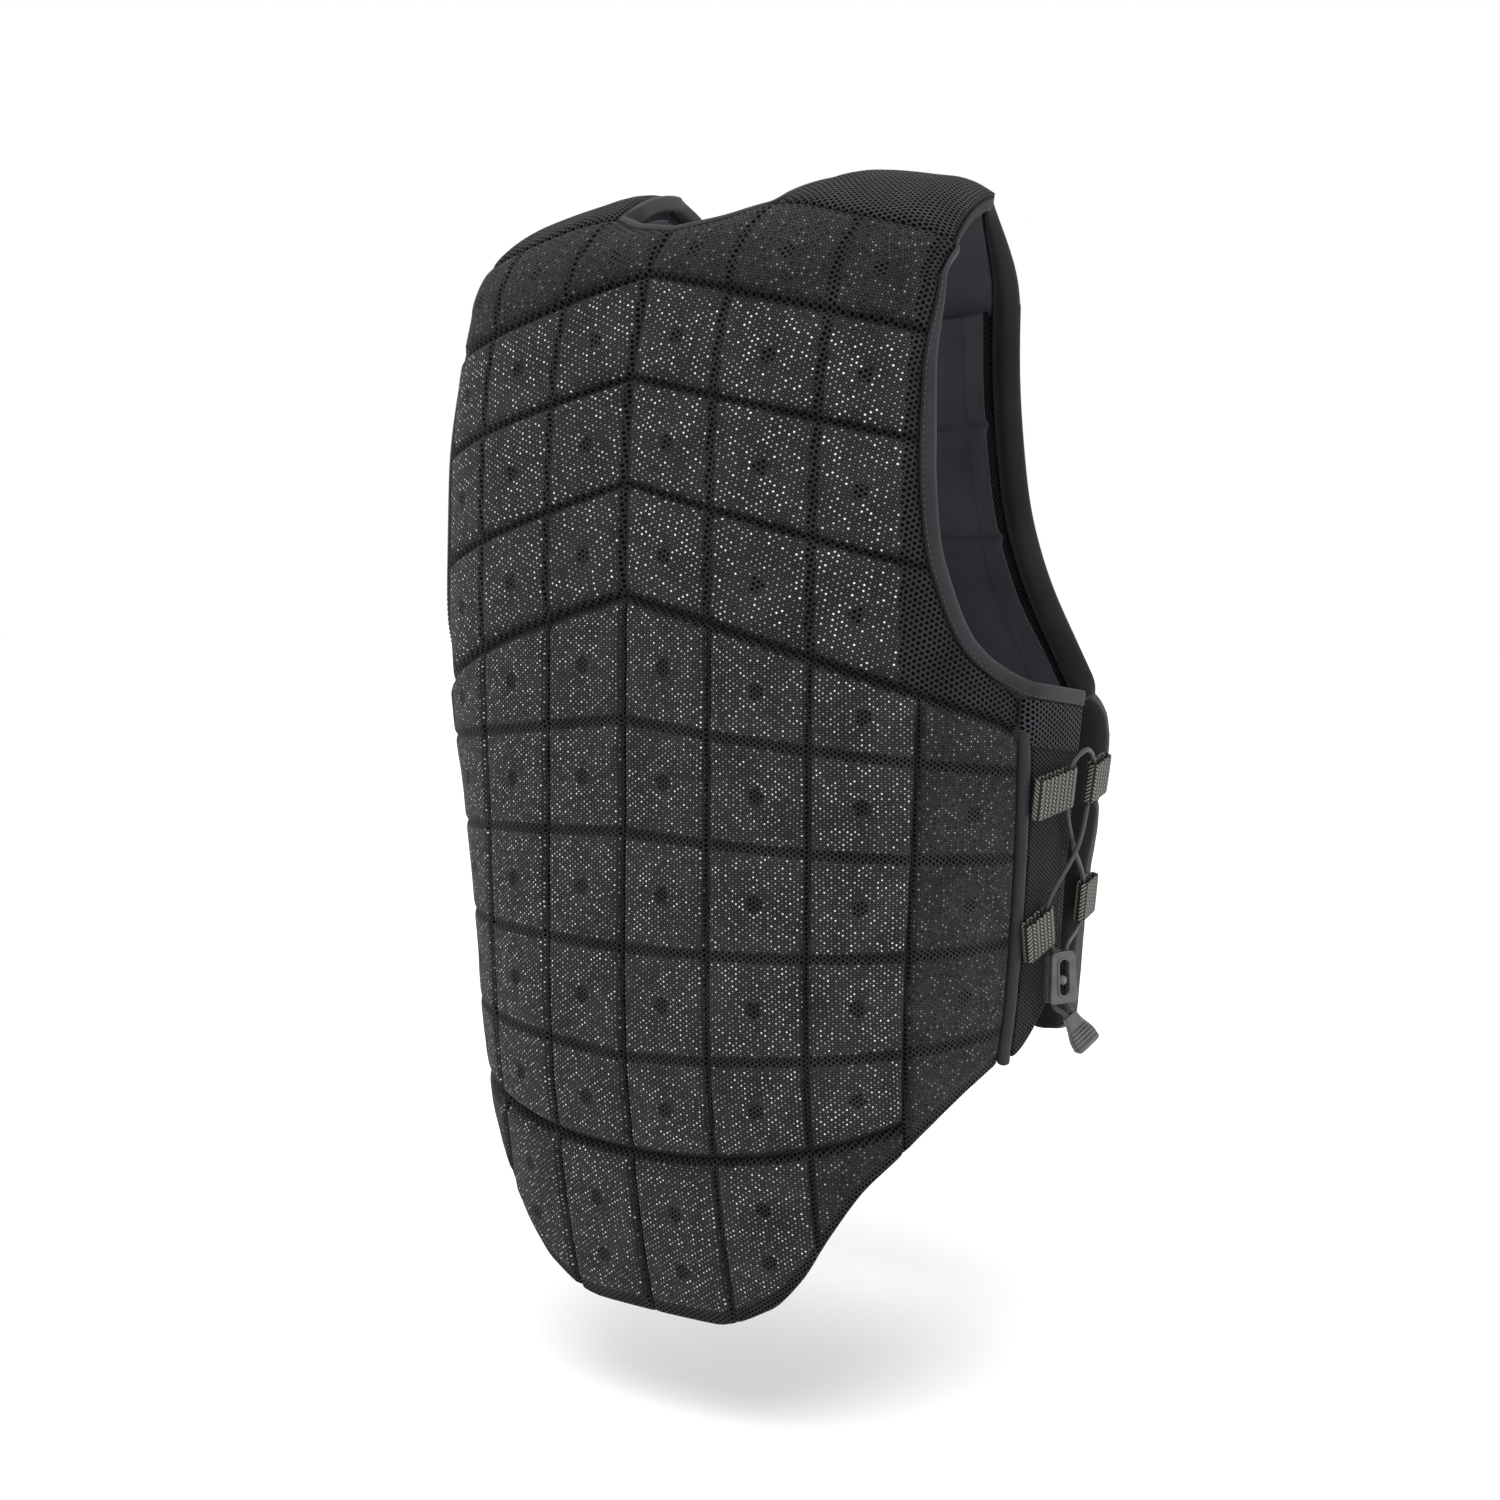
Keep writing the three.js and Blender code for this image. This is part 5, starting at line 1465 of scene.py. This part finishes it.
def cord_lock():
    half = LOCK_LENGTH / 2
    case = [(-LOCK_TOP / 2, half), (LOCK_TOP / 2, half), (LOCK_BOTTOM / 2, -half),
            (-LOCK_BOTTOM / 2, -half)]
    outline = soft_corners(case, 3.2)
    slot = stadium(SLOT_LENGTH, SLOT_WIDTH)[:, ::-1]
    rim = stadium(SLOT_LENGTH + 2.6, SLOT_WIDTH + 2.6)[:, ::-1]
    channel = STRAND_SPREAD + LACE_DIAMETER / 2 + CLEARANCE
    face = LOCK_THICKNESS / 2
    split = 0.35
    layers = [
        ([outline, slot], face - LOCK_WALL, face),
        ([outline, slot], -face, -face + LOCK_WALL),
        ([rim, slot], face - 0.6, face + 0.5),
    ]
    for sign in (-1, 1):
        rail = [(sign * channel, half - 1.5), (sign * (LOCK_TOP / 2 - 0.15), half - 1.5),
                (sign * (LOCK_BOTTOM / 2 - 0.15), -half + 1.5), (sign * channel, -half + 1.5)]
        layers.append(([soft_corners(rail, 0.2, 3)], -face + LOCK_WALL - 0.3, 0.2 - split))
        layers.append(([soft_corners(rail, 0.2, 3)], 0.2, face - LOCK_WALL + 0.3))
    points, faces = plates("cord_lock", layers, 0.28)
    hard_piece("cord_lock_case", points, faces, lock_frame, "lock_plastic", "cord_lock")


cord_lock()


def lock_roller():
    teeth = 18
    radius = ROLLER_DIAMETER / 2
    length = LOCK_THICKNESS + 2 * CLEARANCE
    angle = 2 * np.pi * np.arange(teeth * 4) / (teeth * 4)
    ridge = np.tile([1.0, 1.0, 0.9, 0.9], teeth)
    profile = [(0.0, 0.0, 0), (0.35, 0.0, 0), (0.52, 0.12, 0), (0.60, 0.5, 0), (0.66, 0.9, 0), (0.90, 0.9, 1),
               (1.0, 1.25, 1), (1.0, length - 1.25, 1), (0.90, length - 0.9, 1), (0.66, length - 0.9, 0),
               (0.60, length - 0.5, 0), (0.52, length - 0.12, 0), (0.35, length, 0), (0.0, length, 0)]
    rings = []
    for size, along_axis, knurled in profile:
        around = radius * max(size, 0.02) * (ridge if knurled else 1.0)
        ring = np.stack([around * np.cos(angle), 0 * angle + along_axis - length / 2,
                         around * np.sin(angle) + ROLLER_RISE], -1)
        rings.append(ring)
    faces = tube_faces(len(rings), len(angle))
    hard_piece("lock_roller_knurled", np.concatenate(rings), faces, lock_frame, "roller_plastic",
               "lock_roller", "roller_{}", 25)


lock_roller()

PULL_SIDES = 32


def cord_pull():
    """A bell-shaped wedge with five grooves across its lower half."""
    downs = np.linspace(0, 1, 90)
    grooves = np.array([0.40, 0.51, 0.62, 0.73, 0.84])
    rings = []
    for v in downs:
        half_width = (PULL_NARROW + (PULL_WIDE - PULL_NARROW) * smooth((v - 0.05) / 0.75)) / 2
        half_depth = PULL_THICKNESS / 2 * (0.6 + 0.4 * v)
        cut = 1.0 * np.clip(1.4 - np.abs(grooves - v) / 0.026, 0, 1).max()
        ends = min(v, 1 - v) * PULL_LENGTH
        soft = math.sqrt(max(0.0, 1 - (1 - min(ends / 1.6, 1)) ** 2)) * 0.22 + 0.78
        outline = rounded(-half_width, half_width, -half_depth, half_depth, 6.0, PULL_SIDES) * soft
        outline[:, 1] -= np.sign(outline[:, 1]) * cut * (np.abs(outline[:, 1]) > half_depth * 0.5)
        rings.append(np.c_[outline, np.full(PULL_SIDES, -PULL_LENGTH * v)])
    faces = tube_faces(len(rings), PULL_SIDES)
    hard_piece("cord_pull_ribbed", np.concatenate(rings), faces, pull_frame, "pull_plastic", "cord_pull",
               angle=40)


cord_pull()


# Repeated pieces along a path: stitches and zip teeth
def row_tree(name, round_shape):
    """Small shapes at an even pitch along a curve, turned to follow it."""
    tree = bpy.data.node_groups.new(name, "GeometryNodeTree")
    tree.interface.new_socket("Geometry", in_out="INPUT", socket_type="NodeSocketGeometry")
    for label, value in (("Pitch", 0.003), ("Length", 0.0022), ("Width", 0.0006), ("Height", 0.0005)):
        socket = tree.interface.new_socket(label, in_out="INPUT", socket_type="NodeSocketFloat")
        socket.default_value = value
    tree.interface.new_socket("Finish", in_out="INPUT", socket_type="NodeSocketMaterial")
    tree.interface.new_socket("Geometry", in_out="OUTPUT", socket_type="NodeSocketGeometry")
    start = add(tree, "NodeGroupInput").outputs
    ends = {"Curve": start["Geometry"], "Length": start["Pitch"]}
    spaced = add(tree, "GeometryNodeResampleCurve", ends, mode="LENGTH")
    if round_shape:
        shape = add(tree, "GeometryNodeMeshUVSphere", {"Segments": 8, "Rings": 5, "Radius": 0.5})
    else:
        shape = add(tree, "GeometryNodeMeshCube", {"Size": (1, 1, 1)})
    spans = {"X": start["Width"], "Y": start["Height"], "Z": start["Length"]}
    size = add(tree, "ShaderNodeCombineXYZ", spans)
    tangent = add(tree, "GeometryNodeInputTangent").outputs[0]
    facing = add(tree, "FunctionNodeAlignRotationToVector", {"Vector": tangent}, axis="Z")
    placed = add(tree, "GeometryNodeInstanceOnPoints",
                 {"Points": spaced.outputs[0], "Instance": shape.outputs[0], "Rotation": facing.outputs[0],
                  "Scale": size.outputs[0]})
    real = add(tree, "GeometryNodeRealizeInstances", {0: placed.outputs[0]})
    finished = add(tree, "GeometryNodeSetMaterial",
                   {"Geometry": real.outputs[0], "Material": start["Finish"]})
    end = add(tree, "NodeGroupOutput")
    tree.links.new(finished.outputs[0], end.inputs["Geometry"])
    return tree


stitch_row = row_tree("stitch_row", True)
tooth_row = row_tree("tooth_row", False)


def along_paths(name, tree, paths, sizes, finish):
    """One plain mesh of shapes repeated along several paths given in millimetres."""
    curve = bpy.data.curves.new(name, "CURVE")
    curve.dimensions = "3D"
    for path in paths:
        spline = curve.splines.new("POLY")
        spline.points.add(len(path) - 1)
        spline.points.foreach_set("co", np.c_[np.asarray(path) * MM, np.ones(len(path))].ravel())
    source = bpy.data.objects.new(name + "_path", curve)
    bpy.context.scene.collection.objects.link(source)
    modifier = source.modifiers.new(name, "NODES")
    modifier.node_group = tree
    values = {"Pitch": sizes[0], "Length": sizes[1], "Width": sizes[2], "Height": sizes[3]}
    for item in tree.interface.items_tree:
        if item.in_out == "INPUT" and item.name in values:
            modifier[item.identifier] = values[item.name] * MM
        if item.in_out == "INPUT" and item.name == "Finish":
            modifier[item.identifier] = finish
    bpy.context.view_layer.update()
    mesh = evaluated_mesh(source)
    bpy.data.objects.remove(source)
    piece = bpy.data.objects.new(name, mesh)
    bpy.context.scene.collection.objects.link(piece)
    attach(piece, "vest")
    return piece


def with_mirror(paths):
    return [*paths, *[np.asarray(path) * (-1, 1, 1) for path in paths]]


def front_zip():
    drops = np.linspace(float(front_neck(0.0)) + SEAM_GAP, float(front_hem(0.0)) - SEAM_GAP, 80)
    centre = on_skin("front", 0 * drops, drops, 0 * drops - GROOVE_DEPTH - ZIP_THICKNESS / 2) * (0, 1, 1)
    normal = unit(skin_normal("front", 0 * drops, drops) * (0, 1, 1))
    across = np.broadcast_to((1.0, 0.0, 0.0), centre.shape)
    section = rounded(-ZIP_WIDTH / 2, ZIP_WIDTH / 2, -ZIP_THICKNESS, 0, 8.0, 28)
    points, faces, uv = swept(centre, across, normal, section)
    piece = add_object("front_zip_tape", points, faces, FINISHES["zip_plastic"], "zip_plastic", uv)
    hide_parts("front_zip")
    rows = []
    for sign in (-1, 1):
        row_points = centre + normal * 0.7 + (sign * TEETH_WIDTH / 4, 0, 0)
        rows.append(row_points - (0, 0, 1.3 * (sign > 0)))
    along_paths("front_zip_teeth", tooth_row, rows, (2.6, 1.5, TEETH_WIDTH / 2 + 0.4, 2.2),
                FINISHES["zip_plastic"])


front_zip()


def raised(frames, out, up):
    point, outward, normal = frames
    return point + outward * out + normal * np.broadcast_to(up, (len(point),))[:, None]


armhole_stitch = raised(armhole, 1.5, tape_high - 0.05)
neck_stitch = raised(neck, 1.4, -1.1)
flap_drops = np.linspace(wing_edge(way_round(1.38)) + 6, level(0.70), 60)
flap_seam = on_skin("back", flap_edge(flap_drops) - 4.5, flap_drops, 0 * flap_drops + OVER_FLAP - 0.35)
along_paths("seam_stitches", stitch_row, with_mirror([armhole_stitch, neck_stitch, flap_seam]),
            (3.0, 2.1, 0.55, 0.5), stitch_thread)

# Floor and light: a pale studio, lit evenly, with a soft key from above and behind the camera's right
pale, pale_tree, pale_shader = new_material("matt_white_paper", {"Roughness": 0.9, "IOR": 1.45})
grain = add(pale_tree, "ShaderNodeTexNoise", {"Scale": 40.0, "Detail": 2.0})
paper = ramp(pale_tree, grain.outputs["Fac"], (0.3, "#f4f4f4"), (0.7, "#f8f8f8"))
pale_tree.links.new(paper, pale_shader.inputs["Base Color"])
FLOOR_DROP = 620
FLOOR_HALF = 9000
corners = [(x * FLOOR_HALF, y * FLOOR_HALF, -FLOOR_DROP) for x, y in ((-1, -1), (1, -1), (1, 1), (-1, 1))]
floor_mesh = bpy.data.meshes.new("floor")
floor_mesh.from_pydata([Vector(c) * MM for c in corners], [], [(0, 1, 2, 3)])
floor_mesh.materials.append(pale)
floor = bpy.data.objects.new("floor", floor_mesh)
bpy.context.scene.collection.objects.link(floor)

world = bpy.data.worlds.new("studio")
world.use_nodes = True
world.node_tree.nodes["Background"].inputs["Color"].default_value = (1, 1, 1, 1)
world.node_tree.nodes["Background"].inputs["Strength"].default_value = 1.0
bpy.context.scene.world = world
bpy.context.scene.view_settings.view_transform = "Standard"


def soft_light(name, place_mm, target_mm, size, power):
    data = bpy.data.lights.new(name, "AREA")
    data.shape = "DISK"
    data.size = size
    data.energy = power
    light = bpy.data.objects.new(name, data)
    bpy.context.scene.collection.objects.link(light)
    light.location = Vector(place_mm) * MM
    light.rotation_euler = (Vector(target_mm) - Vector(place_mm)).to_track_quat("-Z", "Y").to_euler()


soft_light("side", (-1800, -600, 400), (0, 0, -280), 1.0, 12)
sun_data = bpy.data.lights.new("key", "SUN")
sun_data.energy = 1.6
sun_data.angle = math.radians(35)
sun = bpy.data.objects.new("key", sun_data)
bpy.context.scene.collection.objects.link(sun)
sun.rotation_euler = Vector((0.25, -0.5, -0.85)).to_track_quat("-Z", "Y").to_euler()
